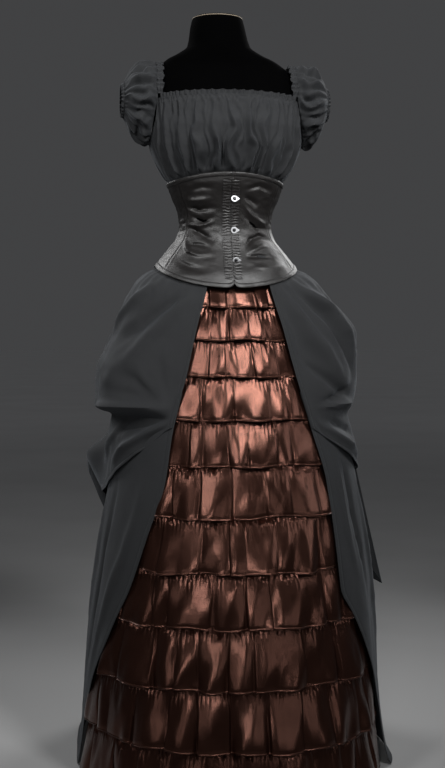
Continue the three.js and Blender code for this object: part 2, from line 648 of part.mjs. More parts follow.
function buildSleeves() {
  for (const side of [-1, 1]) {
    const label = side < 0 ? 'l' : 'r';
    const count = 2 * SLEEVE_GATHERS;
    const rounds = steps(0, 360, count).slice(0, count).map((round) => -side * round);
    const grid = SLEEVE.map(({ along }) => rounds.map((round, index) => {
      const ripple = SLEEVE_RIPPLE * Math.sin(Math.PI * Math.min(along + 0.25, 1)) * (index % 2 ? -1 : 1);
      return sleevePoint(side, along, round, along === 0 ? 0 : ripple);
    }));
    add(`sleeve_${label}`, 'cotton', wall(grid, { loop: true }));
    const cuff = [LAY, CUFF_HIGH].map((outward) => rounds.map((round) => {
      const point = sleevePoint(side, 1, round);
      point.x += side * outward;
      return point;
    }));
    add(`cuff_frill_${label}`, 'cotton', wall(cuff, { loop: true, thick: FRILL_THICK }));
    const over = steps(-80, 80, 12).map((round) => -side * round);
    const band = [FRILL_HIGH - 1, LAY + 0.1].map((inward) => over.map((round) => {
      const point = sleevePoint(side, 0, round);
      point.x -= side * inward;
      return point;
    }));
    add(`shoulder_frill_${label}`, 'cotton', wall(band, { thick: FRILL_THICK }));
  }
}

function openingEdge(side, z) {
  return column(OPENING, 'z', side < 0 ? 'left' : 'right', z);
}

function buildUnderskirt() {
  const heights = [WAIST_SEAM, 1139, 1110, 1080, 1050, 965, 860, 760, 540, 300, FOUNDATION_HEM];
  const sides = 30;
  const around = steps(0, 360, sides).slice(0, sides);
  const grid = heights.map((z) => around.map((angle) => onSection(SKIRT, angle, z)));
  add('underskirt_base', 'copper', wall(grid, { loop: true }));
}

// Fold angles of a tier, carried on at uneven spacing to its ends under the overskirt
function tierFolds(folds, from, to, radius, tier) {
  const all = [...folds].filter((angle) => angle > from && angle < to);
  const pitch = THREE.MathUtils.radToDeg(RUFFLE_SPACING / radius);
  const uneven = (count) => pitch * (1 + 0.28 * Math.sin(2.4 * count + 1.7 * tier));
  for (let a = all[0] - uneven(1), n = 2; a > from + pitch / 3; a -= uneven(n), n += 1) {
    all.unshift(a);
  }
  for (let a = all[all.length - 1] + uneven(5), n = 6; a < to - pitch / 3; a += uneven(n), n += 1) {
    all.push(a);
  }
  return all;
}

// One ruffle tier: flat runs of cloth between sharp narrow folds that deepen towards the hem
function buildTier({ hem, folds }, index) {
  const heading = index === 0 ? FIRST_HEADING : TIERS[index - 1].hem + HEADING_COVER;
  const from = openingEdge(-1, hem) - RUFFLE_BEYOND;
  const to = openingEdge(1, hem) + RUFFLE_BEYOND;
  const radius = column(SKIRT, 'z', 'wide', hem);
  const half = THREE.MathUtils.radToDeg(FOLD_HALF_WIDE / radius);
  const folded = [{ angle: from, crest: 0 }];
  for (const angle of tierFolds(folds, from, to, radius, index)) {
    folded.push({ angle: angle - 1.5 * half, crest: 0.6 });
    folded.push({ angle, crest: -1 });
    folded.push({ angle: angle + half, crest: 1 });
  }
  folded.push({ angle: to, crest: 0 });
  const marks = folded.flatMap((mark, place) => {
    const next = folded[Math.min(place + 1, folded.length - 1)];
    const parts = Math.max(Math.ceil((next.angle - mark.angle) / WIDEST_STEP), 1);
    return steps(0, 1, parts).slice(0, -1).map((share) => ({
      angle: THREE.MathUtils.lerp(mark.angle, next.angle, share),
      crest: THREE.MathUtils.lerp(mark.crest, next.crest, share),
    }));
  });
  const grid = [0, HEADING_HIGH / (heading - hem), 1].map((share, row) => marks.map(({ angle, crest }) => {
    const fullness = row < 2 ? 0 : 1;
    const flare = RUFFLE_HEADING + (RUFFLE_HEM - RUFFLE_HEADING) * fullness;
    const deep = FOLD_TOP_DEEP + (FOLD_HEM_DEEP - FOLD_TOP_DEEP) * fullness;
    const outset = crest < 0 ? flare - deep : flare - (1 - crest) * 1.2 * fullness;
    const uneven = 1.6 * Math.sin(0.21 * angle + index) * share;
    return onSection(SKIRT, angle, heading + (hem - heading) * share + uneven, outset);
  }));
  add(`ruffle_${String(index + 1).padStart(2, '0')}`, 'copper', wall(grid, { thick: RUFFLE_THICK }));
}

// Weight of the front edge's own outset at an angle, fading towards the side
function nearEdge(angle, z) {
  const edge = Math.abs(openingEdge(angle, z));
  return 1 - ease(Math.abs(angle), edge, Math.max(78, edge + 20));
}

// Blend of the columns left, right and behind at an angle
function roundAbout(row, angle) {
  const side = angle < 0 ? row('left') : row('right');
  const behind = angle < 0 ? row('backLeft') : row('backRight');
  const aside = Math.abs(angle);
  const toBehind = ease(aside, 92, DRAPE_SEAM);
  const toCentre = ease(aside, DRAPE_SEAM, 165);
  return THREE.MathUtils.lerp(THREE.MathUtils.lerp(side, behind, toBehind), row('back'), toCentre);
}

function drapeFold(angle, share) {
  let height = 0;
  for (const fold of DRAPE_FOLDS) {
    const away = (angle - fold.angle) / fold.wide;
    height += fold.high * Math.exp(-away * away) * share;
  }
  return height;
}

// The hitched fold's lip, from the left front edge to the fuller side
function lip(angle, z) {
  if (angle > 0) return 0;
  const edge = Math.abs(openingEdge(angle, z));
  const out = LIP.find((row) => row.z === z)?.out ?? 0;
  return out * ease(-angle, edge + 1, edge + 8) * (1 - ease(-angle, LIP_END, LIP_END + 22));
}

// The back drape's right corner, which stands out more and more towards the hem
function flap(angle, z) {
  if (angle < DRAPE_SEAM) return 0;
  const away = (angle - FLAP.angle) / FLAP.wide;
  return FLAP.reach * Math.exp(-away * away) * ease(z, FLAP.from, FLAP.to);
}

// Largest outset that stays under the corset at an angle and height
function underCorset(angle, z) {
  const room = (name) => column(CORSET, 'z', name, z) - column(SKIRT, 'z', name, z);
  const facing = Math.cos(radians(angle)) > 0 ? 'front' : 'back';
  return Math.min(room('wide'), room(facing)) - CLOTH - UNDER_CORSET;
}

// Grid of the upper layer between two angle functions of height
function upperGrid(fromAt, toAt, across) {
  const sideBottom = corsetBottom(90);
  const places = steps(0, 1, across);
  const rowOf = (heightAt, outsetAt) => places.map((place) => {
    const rough = THREE.MathUtils.lerp(fromAt(SHELF_IN), toAt(SHELF_IN), place);
    const first = heightAt(rough);
    const z = heightAt(THREE.MathUtils.lerp(fromAt(first), toAt(first), place));
    const angle = THREE.MathUtils.lerp(fromAt(z), toAt(z), place);
    return onSection(SKIRT, angle, z, outsetAt(angle, z));
  });
  const full = (table, key, at, share) => (angle, z) => {
    const open = roundAbout((name) => column(table, key, name, at), angle);
    const edge = Math.min(UPPER_EDGE_OUT, underCorset(angle, Math.max(z, corsetBottom(angle))));
    return THREE.MathUtils.lerp(open, edge, nearEdge(angle, z)) + drapeFold(angle, share);
  };
  const hidden = (angle, z) => Math.min(UPPER_EDGE_OUT, underCorset(angle, z));
  const grid = [
    rowOf(() => WAIST_SEAM, () => WAIST_OUT),
    rowOf((angle) => (WAIST_SEAM + corsetBottom(angle)) / 2, hidden),
    rowOf((angle) => corsetBottom(angle) + 4, hidden),
    rowOf((angle) => corsetBottom(angle) - 2.5, hidden),
  ];
  for (const { z } of UPPER) {
    const share = (sideBottom - z) / (sideBottom - SHELF_OUT);
    const heightAt = (angle) => THREE.MathUtils.lerp(corsetBottom(angle), SHELF_OUT, share);
    const outset = full(UPPER, 'z', z, ease(z, 1080, 900));
    grid.push(rowOf(heightAt, (angle, at) => outset(angle, at) + lip(angle, z)));
  }
  for (const { share } of SWAG) {
    const hemAt = (angle) => column(UPPER_HEM, 'angle', 'z', angle);
    const heightAt = (angle) => THREE.MathUtils.lerp(SHELF_IN, hemAt(angle), share);
    const outset = full(SWAG, 'share', share, 0.3 + 0.5 * share);
    grid.push(rowOf(heightAt, (angle, at) => outset(angle, at) + flap(angle, at)));
  }
  return grid;
}

// Grid of the long lower layer between two angle functions of height
function lowerGrid(fromAt, toAt, across) {
  const rows = [...LOWER].reverse();
  return rows.map(({ z, floor }) => steps(0, 1, across).map((place) => {
    const angle = THREE.MathUtils.lerp(fromAt(z), toAt(z), place);
    const aside = Math.abs(angle);
    const side = column(LOWER, 'z', angle < 0 ? 'left' : 'right', z);
    const full = THREE.MathUtils.lerp(side, column(LOWER, 'z', 'back', z), ease(aside, 92, 140));
    const spread = column(TRAIN, 'angle', 'reach', angle) * floor;
    const outset = THREE.MathUtils.lerp(full, LOWER_EDGE_OUT, nearEdge(angle, z)) + spread;
    return onSection(SKIRT, angle, z, outset + drapeFold(angle, 0.9 * ease(z, 640, 300)));
  }));
}

function buildOverskirt() {
  const gap = 0.06;
  const left = (z) => openingEdge(-1, z);
  const right = (z) => openingEdge(1, z);
  const seam = (angle) => () => angle;
  add('overskirt_upper_l', 'cotton', wall(upperGrid(seam(-DRAPE_SEAM + gap), left, 11)));
  add('overskirt_upper_r', 'cotton', wall(upperGrid(right, seam(DRAPE_SEAM - gap), 11)));
  const behind = upperGrid(seam(DRAPE_SEAM + gap), seam(180), 8);
  const behindLeft = upperGrid(seam(-180), seam(-DRAPE_SEAM - gap), 8);
  const whole = behind.map((row, i) => [...row, ...behindLeft[i].slice(1)]);
  add('overskirt_upper_back', 'cotton', wall(whole));
  add('overskirt_lower_l', 'cotton', wall(lowerGrid(seam(-DRAPE_SEAM + gap), left, 9)));
  add('overskirt_lower_r', 'cotton', wall(lowerGrid(right, seam(DRAPE_SEAM - gap), 9)));
  const trail = lowerGrid(seam(DRAPE_SEAM + gap), seam(180), 7);
  const trailLeft = lowerGrid(seam(-180), seam(-DRAPE_SEAM - gap), 7);
  add('overskirt_train', 'cotton', wall(trail.map((row, i) => [...row, ...trailLeft[i].slice(1)])));
}

buildForm();
buildCorset();
buildBusk();
buildBodice();
buildSleeves();
buildUnderskirt();
TIERS.forEach(buildTier);
buildOverskirt();

export default dress;
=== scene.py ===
import math

import bpy
import numpy as np
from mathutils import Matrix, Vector


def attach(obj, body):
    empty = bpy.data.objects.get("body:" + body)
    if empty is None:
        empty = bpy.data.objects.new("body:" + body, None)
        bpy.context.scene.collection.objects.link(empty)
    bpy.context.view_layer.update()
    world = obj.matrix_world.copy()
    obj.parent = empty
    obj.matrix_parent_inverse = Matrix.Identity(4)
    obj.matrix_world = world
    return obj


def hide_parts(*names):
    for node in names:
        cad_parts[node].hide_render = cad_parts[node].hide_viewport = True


# Looks of a tiered bustle dress with an underbust corset, on a limbless dress form.
# Sizes are in millimetres and angles in degrees, 0 at the front and positive towards +X.
# Meshes are made in metres.
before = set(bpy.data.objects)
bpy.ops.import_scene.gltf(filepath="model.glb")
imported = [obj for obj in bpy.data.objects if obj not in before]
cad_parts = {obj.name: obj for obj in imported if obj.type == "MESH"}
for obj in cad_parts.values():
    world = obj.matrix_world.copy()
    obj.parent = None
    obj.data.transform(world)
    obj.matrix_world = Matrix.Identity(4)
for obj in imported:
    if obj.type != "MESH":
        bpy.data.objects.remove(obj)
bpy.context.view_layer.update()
MM = 0.001


def table(names, *rows):
    """Rows of named columns"""
    return [dict(zip(names.split(), row)) for row in rows]


# Sections of the dress form, the bodice, the corset's outer face and the skirt's foundation
FORM = table(
    "z wide front back sway",
    (955, 128, 90, 96, 0), (962, 138, 98, 106, 0), (1000, 145, 103, 112, 0), (1050, 141, 100, 108, 0),
    (1110, 114, 84, 84, 0), (1160, 94, 74, 71, 0), (1188, 97.9, 80.2, 76.2, 0),
    (1225, 100, 80, 76.5, 0), (1255, 111, 85, 81, 0), (1285, 119, 88, 84, 0), (1320, 130, 99, 88, 0),
    (1385, 154, 115, 95, 0), (1465, 158, 88, 86, 0), (1500, 157, 68, 78, -1), (1522, 150, 55, 70, -3),
    (1537, 135, 50, 64, -6), (1550, 118, 51, 62, -9), (1562, 93, 53, 60, -12), (1579, 69, 55, 58, -14),
    (1634, 56, 55, 55, -17), (1642, 52, 51, 51, -17),
)
BODICE = table(
    "z wide front back sway",
    (1266, 118, 90.8, 85.2, 0), (1283, 123.3, 94.8, 88.6, 0), (1290, 129, 102, 94, 0),
    (1313, 144, 113, 100, 0), (1335, 156, 122, 103, 0), (1362, 166, 128, 105, 0),
    (1395, 170, 128, 106, 0), (1430, 171, 117, 103, 0), (1475, 169, 101, 98, 0),
)
CORSET = table(
    "z wide front back sway",
    (1040, 186, 142, 148, 0), (1053, 181, 137, 142, 0), (1080, 170, 127, 130, 0),
    (1104, 154, 114, 116, 0), (1119, 143, 106, 106, 0), (1139, 126.5, 96, 95, 0),
    (1165, 107, 86, 82, 0), (1188, 101, 83, 79, 0), (1207, 102, 84, 80, 0), (1225, 106, 86, 82, 0),
    (1250, 117, 90.5, 86, 0), (1282, 127, 98, 92, 0), (1302, 129, 99, 94, 0),
)
SKIRT = table(
    "z wide front back sway",
    (0, 318, 330, 500, 14), (150, 308, 312, 455, 14), (300, 296, 292, 410, 14),
    (430, 280, 270, 368, 14), (540, 264, 248, 330, 13), (650, 248, 225, 290, 12),
    (760, 231, 199, 250, 10), (860, 212, 173, 212, 8), (965, 188, 144, 170, 5),
    (1050, 158, 116, 124, 3), (1080, 147, 107, 110, 2), (1110, 133, 97, 98, 1), (1139, 114, 86, 84, 0),
    (1160, 99, 78, 75, 0),
)
WAIST_SEAM = 1160
FOUNDATION_HEM = 10
SIDE_SEAM = 60
BACK_SEAM = 115
DRAPE_SEAM = 112

# Corset edges at the side seam, and how far they rise and drop in front and behind
CORSET_TOP = 1282
CORSET_TOP_RISE = (17, 8)
CORSET_BOTTOM = 1104
CORSET_POINT_DROP = (51, 24)
CORSET_NOTCH_HIGH = 9
CORSET_NOTCH_WIDE = 4
CORSET_NARROWEST = 76
BINDING_HIGH = 9
BUSK_WIDE = 19
BUSK_TOP_SHARE = 0.055
BUSK_BOTTOM_SHARE = 0.925

# Front edges of the overskirt: angle of each edge at a height
OPENING = table(
    "z left right",
    (0, -94, 80), (107, -88, 76), (200, -80, 67), (250, -74, 62), (300, -67, 57), (350, -62, 52),
    (395, -58, 46), (440, -53, 42), (515, -48, 42.5), (595, -43, 44), (685, -37, 40.5),
    (765, -36, 36.5), (870, -29.5, 31.5), (965, -25, 28.5), (1053, -20, 26), (1160, -16, 24),
)

# Ruffle tiers from the waist down: hem height in front and the folds that show there
TIERS = [
    (1011, [-19, -6, 14.5, 23]),
    (942, [-17, -6, 7, 18]),
    (866, [-18, -8, 7.5, 22]),
    (777, [-22.5, -5, 14, 25]),
    (683, [-28, -21, -8, 1, 15.5, 25.5]),
    (581, [-35, -22, -7.5, 8.5, 21, 36]),
    (472, [-40, -21.5, -9, -1, 11, 34]),
    (363, [-41, -35, -17, -2.5, 8, 34]),
    (244, [-57, -40, -30, -21.5, -10, 0, 21.5, 38]),
    (125, [-63, -48.5, -33, -21, -9, 5, 17.5, 32]),
    (12, [-60, -45, -31, -18, -6, 9, 22, 36]),
]
FIRST_HEADING = 1077
HEADING_COVER = 6
RUFFLE_BEYOND = 8
RUFFLE_SPACING = 70
RUFFLE_HEADING = 3.4
RUFFLE_HEM = 11.4
FOLD_TOP_DEEP = 1.5
FOLD_HEM_DEEP = 7.6

# Overskirt's upper layer: outsets from the foundation, with heights as they are at the side
SHELF_OUT = 800
SHELF_IN = 780
UPPER = table(
    "z left right backLeft back backRight",
    (1091, 30, 32, 30, 26, 32), (1062, 50, 53, 54, 54, 56), (1015, 57, 69, 64, 80, 72),
    (965, 57, 79, 68, 94, 80), (920, 70, 78, 78, 99, 80), (886, 80, 74, 82, 98, 75),
    (845, 76, 64, 77, 89, 65), (SHELF_OUT, 68, 46, 60, 72, 50),
)
SWAG = table(
    "share left right backLeft back backRight",
    (0, 29, 35, 34, 50, 40), (0.25, 26, 35, 46, 78, 54), (0.5, 25.5, 36, 90, 94, 68),
    (0.8, 25, 36, 58, 82, 84), (1, 24.5, 36, 32, 62, 98),
)
# Pointed corner of the back drape, and the lip of the hitched fold on the left
FLAP_ANGLE = 116
FLAP_WIDE = 12
FLAP_REACH = 54
FLAP_TOP = 480
FLAP_TIP = 352
LIP = {845: 5, SHELF_OUT: 13}
LIP_END = 62
UPPER_EDGE_OUT = 18.4
WAIST_OUT = 3.6
UNDER_CORSET = 1.7
CAD_CLOTH = 2
UPPER_HEM = table(
    "angle z",
    (-180, 455), (-145, 500), (-113, 556), (-112, 590), (-92, 618), (-70, 668), (-50, 724), (-33, 766),
    (33, 762), (50, 728), (70, 682), (90, 653), (112, 640), (113, 352), (130, 400), (155, 436),
    (180, 455),
)

# Overskirt's long lower layer, and how far its hem spreads over the floor
LOWER = table(
    "z left right back floor",
    (3.2, 19, 24, 30, 1), (18, 18, 22, 28, 0.7), (50, 17, 20, 24, 0.4), (110, 17, 17, 22, 0.16),
    (180, 16.5, 16, 20, 0.05), (245, 16.5, 16, 20, 0.01), (305, 15.5, 17, 20, 0),
    (365, 15.5, 19, 21, 0), (430, 16, 23, 22, 0), (540, 18, 27, 24, 0), (650, 18, 27, 24, 0),
    (745, 17.5, 20, 22, 0), (835, 16, 16, 18, 0),
)
LOWER_EDGE_OUT = 14.8
TRAIN = table(
    "angle reach",
    (-180, 215), (-150, 130), (-125, 44), (-100, 7), (-75, 2), (60, 6), (85, 24), (107, 50), (130, 120),
    (155, 195), (180, 215),
)
DRAPE_FOLDS = table(
    "angle wide high",
    (-150, 9, 7), (-128, 8, 6), (-98, 8, 4), (-68, 7, 4), (62, 7, 4), (84, 8, 5), (126, 8, 6),
    (147, 9, 7), (172, 9, 7),
)

# Bodice gathers, openings and sleeve sections
FRONT_GATHERS = [-80, -66, -52, -38.5, -26, -14, -1.5, 14, 25.5, 39, 52, 66, 80]
BACK_GATHERS = [99, 116, 132, 149, 164, 181, 197, 212, 229, 245, 261]
ARMHOLE_FRONT = 64
ARMHOLE_BACK = 118
ARMHOLE_DEEP = 92
NECKLINE_FRONT = 1462
NECKLINE_BACK = 1468
NECKLINE_CORNER = 1458
FRILL_HIGH = 9
FRILL_END = 59
SLEEVE = table(
    "along high deep rise",
    (0, 88, 50, 1453), (0.14, 88, 58, 1453), (0.34, 84, 65, 1454), (0.56, 76, 66, 1457),
    (0.78, 62, 58, 1459), (0.92, 47, 47, 1460), (1, 38, 38, 1459),
)
SLEEVE_ROOT_GAP = 0.7
SHOULDER_BAND = 13
SHOULDER_REACH = 151
CUFF_REACH = 221

# Creases: width, height (a trough below 0), then angle and height of each point
DRAPE_CREASES = [
    (17, 5, -28, 1062, -44, 985, -60, 905, -72, 850), (13, -4.5, -34, 1050, -56, 985, -76, 925),
    (14, 5, -58, 1070, -78, 1010, -92, 950), (9, -1.8, -37, 806, -43, 862, -45, 938),
    (11, -2.2, -37, 803, -52, 846, -66, 884), (9, -1.6, -37, 803, -55, 830, -76, 846),
    (9, 1.6, -40, 812, -49, 852, -56, 900), (8, 5.5, -36, 804, -52, 806, -70, 806, -88, 804),
    (9, -2.6, -37, 781, -52, 778, -70, 776, -86, 776), (9, 5, -37, 776, -50, 752, -66, 716, -80, 668),
    (7, -4.5, -37, 770, -46, 744, -56, 708), (8, -5, -40, 778, -60, 765, -84, 742),
    (10, 4, -70, 770, -86, 720, -98, 660), (17, 8, 33, 1064, 42, 985, 52, 905, 60, 836),
    (15, -5, 31, 1030, 37, 940, 45, 860), (14, -5.5, 46, 1062, 60, 980, 70, 890, 74, 836),
    (16, 5, 44, 1070, 74, 1000, 88, 930, 94, 860), (9, -4.5, 33, 930, 40, 890, 56, 842, 74, 818),
    (8, -3, 34, 1010, 36, 940, 39, 860), (16, 5, 52, 1064, 70, 980, 80, 900),
    (14, -4.5, 70, 1060, 90, 985, 102, 900), (7, -4.5, 45, 812, 58, 826, 72, 846),
    (6, 4, 42, 800, 60, 806, 80, 812), (9, 4.5, 40, 772, 52, 748, 66, 716, 80, 684),
    (9, -4, 46, 778, 62, 756, 84, 730), (5, -3, 38, 784, 43, 752, 47, 735),
    (15, 6, 122, 1040, 132, 960, 128, 870), (13, -7, 136, 1050, 148, 950, 152, 850),
    (15, 6, 160, 1050, 164, 960, 176, 870), (12, -6, -176, 1052, -170, 950, -168, 850),
    (15, 6, -160, 1045, -152, 960, -154, 860), (13, -6, -138, 1050, -134, 950, -128, 860),
    (12, 4, -122, 1045, -118, 940, -120, 860), (15, 7, 118, 790, 128, 700, 132, 600, 124, 480),
    (13, -7, 130, 770, 142, 660, 146, 560, 142, 470), (16, 7, 146, 780, 158, 680, 162, 580, 168, 500),
    (12, -6, 166, 770, 172, 660, -178, 560), (14, 6, -176, 775, -168, 670, -166, 560),
    (12, -6.5, -158, 770, -150, 670, -152, 570), (13, 6, -140, 775, -132, 690, -128, 620),
    (9, -4, -120, 760, -118, 690, -116, 610),
]
LOWER_CREASES = [
    (13, 3.5, -50, 650, -62, 480, -76, 300, -92, 130),
    (14, -4.5, -72, 640, -82, 460, -92, 240, -100, 60), (12, 4, -88, 620, -97, 420, -106, 200),
    (9, 4, 52, 720, 54, 560, 56, 440), (8, -4.5, 58, 710, 62, 540, 66, 380),
    (13, 4, 72, 660, 76, 480, 84, 300, 90, 120), (14, -5, 92, 640, 94, 440, 98, 240, 104, 70),
    (16, 8, 118, 380, 120, 250, 118, 120, 120, 30), (15, -8, 134, 420, 137, 260, 138, 120, 140, 24),
    (17, -8, 160, 440, 160, 280, 158, 120, 160, 24), (16, 7, -178, 440, -176, 280, -172, 120, -172, 24),
    (15, -8, -164, 470, -162, 280, -160, 120, -158, 24),
    (15, -7, -140, 500, -138, 300, -136, 120, -134, 24),
    (13, -5, -116, 540, -116, 320, -118, 120, -118, 24),
]
CORSET_CREASES = [
    (5, -2.3, -57, 1228, -38, 1222, -17, 1226), (5, 1.4, -54, 1240, -36, 1240, -20, 1244),
    (5, -1.7, -52, 1208, -34, 1196, -20, 1204), (4.5, 1.8, -58, 1190, -38, 1187, -18, 1199),
    (5, -2.3, -56, 1184, -36, 1170, -17, 1151), (4, 2, -58, 1160, -43, 1133, -30, 1124, -18, 1128),
    (4, -1.8, -50, 1148, -34, 1146, -19, 1138), (6, -1.6, -54, 1116, -36, 1098, -18, 1086),
    (5, -1.2, -44, 1262, -30, 1268, -16, 1264), (5, -1.8, 16, 1263, 30, 1272, 52, 1262),
    (5, -2.2, 15, 1248, 25, 1240, 34, 1230), (5, 1.8, 16, 1228, 26, 1210, 42, 1196, 56, 1190),
    (5, -1.5, 18, 1206, 36, 1184, 56, 1180), (4.5, -2.2, 14, 1140, 24, 1158, 38, 1166, 56, 1160),
    (4, 1.6, 16, 1130, 30, 1142, 46, 1148), (4.5, -2.2, 14, 1119, 26, 1122, 40, 1118),
    (6, 1.4, 20, 1098, 34, 1096, 52, 1108),
]

# Camera, from the photograph: 445 by 768 pixels, 2.2 mm to a pixel at the middle of the dress
CAMERA_AWAY = 2900
CAMERA_HIGH = 965
CAMERA_TURN = -8.5
AIM_HIGH = 846
AIM_ASIDE = -5.5
LENS = 61.8


def curve_through(places, values, at):
    """Smooth curve through values along the first axis, with no overshoot"""
    places, values = np.asarray(places, float), np.asarray(values, float)
    tail = (1,) * (values.ndim - 1)
    rise = np.diff(values, axis=0) / np.diff(places).reshape((-1,) + tail)
    before, after = np.concatenate([rise[:1], rise]), np.concatenate([rise, rise[-1:]])
    agree = before * after > 0
    slope = np.where(agree, 2 * before * after / np.where(agree, before + after, 1), 0)
    at = np.clip(np.asarray(at, float), places[0], places[-1])
    i = np.clip(np.searchsorted(places, at, side="right") - 1, 0, len(places) - 2)
    span = (places[i + 1] - places[i]).reshape(at.shape + tail)
    t = (at - places[i]).reshape(at.shape + tail) / span
    start = (2 * t ** 3 - 3 * t ** 2 + 1) * values[i] + (t ** 3 - 2 * t ** 2 + t) * span * slope[i]
    return start + (3 * t ** 2 - 2 * t ** 3) * values[i + 1] + (t ** 3 - t ** 2) * span * slope[i + 1]


def column(rows, name, at):
    """Value of one column of a table at places along its first column"""
    key = next(iter(rows[0]))
    rows = sorted(rows, key=lambda row: row[key])
    return curve_through([row[key] for row in rows], [row[name] for row in rows], at)


def ease(at, start, end):
    """Smooth 0 to 1 between two values, which may run down"""
    t = np.clip((at - start) / (end - start), 0, 1)
    return t * t * (3 - 2 * t)


def mix(a, b, share):
    return a + (b - a) * share


def hump(away, wide):
    """1 at no distance, falling smoothly to 0 over about twice the width"""
    return np.exp(-(away / wide) ** 2)


def fade(past, length):
    """1 up to a place and less and less past it"""
    return np.exp(-np.clip(past, 0, None) / length)


def wrapped(angle):
    """Angle from -180 to 180"""
    return np.where(angle > 180, angle - 360, angle)


def on_section(rows, angle, z, outset=0.0):
    """Points of an oval section at angles, moved out by an outset"""
    a = np.radians(angle)
    deep = np.where(np.cos(a) > 0, column(rows, "front", z), column(rows, "back", z))
    x = column(rows, "sway", z) + (column(rows, "wide", z) + outset) * np.sin(a)
    return np.stack(np.broadcast_arrays(x, -(deep + outset) * np.cos(a), z * 1.0), axis=-1)


def noise(x, y, seed=0):
    """Smooth value noise from -1 to 1, the same on each run"""
    def corner(i, j):
        value = np.sin(i * 127.1 + j * 311.7 + seed * 74.7) * 43758.5453
        return value - np.floor(value)
    i, j = np.floor(x), np.floor(y)
    u, v = ease(x - i, 0, 1), ease(y - j, 0, 1)
    low = mix(corner(i, j), corner(i + 1, j), u)
    high = mix(corner(i, j + 1), corner(i + 1, j + 1), u)
    return 2 * mix(low, high, v) - 1


def along_noise(x, seed):
    return noise(x, x * 0, seed)


def crumple(x, y, seed=0):
    """Three layers of noise, each finer and weaker"""
    total = noise(x, y, seed) + 0.5 * noise(2.1 * x, 2.1 * y, seed + 3)
    return (total + 0.25 * noise(4.3 * x, 4.3 * y, seed + 7)) / 1.75


def pleats(angle, radius, pitch, shift):
    """Waves across the cloth at a pitch in mm, shifted by an uneven phase"""
    return np.sin(np.radians(angle) * radius * 2 * math.pi / pitch + shift)


def crease_relief(creases, angle, z, radius):
    """Height of all creases at points of angle and height. Each fades towards both its ends."""
    total = np.zeros(np.broadcast(angle, z).shape)
    around = 2 * math.pi * radius
    for number, (wide, high, *line) in enumerate(creases):
        path = [(math.radians(a) * radius, h) for a, h in zip(line[::2], line[1::2])]
        for n in range(1, len(path)):
            step = path[n - 1][0] - path[n][0]
            if abs(step) > around / 2:
                path[n] = (path[n][0] + math.copysign(around, step), path[n][1])
        spans = [math.dist(*ends) for ends in zip(path, path[1:])]
        middle = sum(p[0] for p in path) / len(path)
        x = np.radians(angle) * radius
        x = x - around * np.round((x - middle) / around)
        x = x + 0.35 * wide * noise(x / 60, z / 45, number)
        nearest = np.full(total.shape, 1e9)
        place = np.zeros(total.shape)
        done = 0
        for (x0, z0), (x1, z1), span in zip(path, path[1:], spans):
            along = np.clip(((x - x0) * (x1 - x0) + (z - z0) * (z1 - z0)) / span ** 2, 0, 1)
            away = np.hypot(x - x0 - along * (x1 - x0), z - z0 - along * (z1 - z0))
            place = np.where(away < nearest, (done + along * span) / sum(spans), place)
            nearest = np.minimum(away, nearest)
            done += span
        ends = np.minimum(1, 3.2 * place + 0.15) * np.minimum(1, 2.6 * (1 - place) + 0.02)
        total += high * ends * hump(nearest, wide * (0.75 + 0.5 * place))
    return total


def sizes(vectors):
    return np.linalg.norm(vectors, axis=-1)


def grid_normals(points, loop=False):
    down, along = np.gradient(points, axis=0), np.gradient(points, axis=1)
    if loop:
        along = np.roll(points, -1, axis=1) - np.roll(points, 1, axis=1)
    normal = np.cross(down, along)
    return normal / np.maximum(sizes(normal)[..., None], 1e-9)


def grid_faces(rows, columns, loop=False):
    """Quads of a grid: each runs from its corner down and then across"""
    i = np.arange(rows - 1)[:, None] * columns
    j = np.arange(columns if loop else columns - 1)[None, :]
    k = (j + 1) % columns
    return np.stack([i + j, i + columns + j, i + columns + k, i + k], -1).reshape(-1, 4)


# Order of a quad's corners that makes it face the other way
TURNED = [0, 3, 2, 1]


def mesh_object(name, points, faces, material, uvs=None, sharp=50):
    """Smooth mesh in metres from points in millimetres, quads or triangles, and corner UVs"""
    mesh = bpy.data.meshes.new(name)
    faces = np.asarray(faces, np.int32)
    mesh.vertices.add(len(points))
    mesh.vertices.foreach_set("co", (np.asarray(points, float) * MM).astype(np.float32).ravel())
    mesh.loops.add(faces.size)
    mesh.loops.foreach_set("vertex_index", faces.ravel())
    mesh.polygons.add(len(faces))
    mesh.polygons.foreach_set("loop_start", np.arange(0, faces.size, faces.shape[1], dtype=np.int32))
    mesh.polygons.foreach_set("use_smooth", np.ones(len(faces), bool))
    if uvs is not None:
        layer = mesh.uv_layers.new(name="cloth")
        layer.data.foreach_set("uv", (uvs * MM).astype(np.float32).ravel())
    mesh.update(calc_edges=True)
    mesh.validate()
    mesh.set_sharp_from_angle(angle=math.radians(sharp))
    mesh.materials.append(material)
    return placed(name, mesh)


def placed(name, data):
    piece = bpy.data.objects.new(name, data)
    bpy.context.scene.collection.objects.link(piece)
    return piece


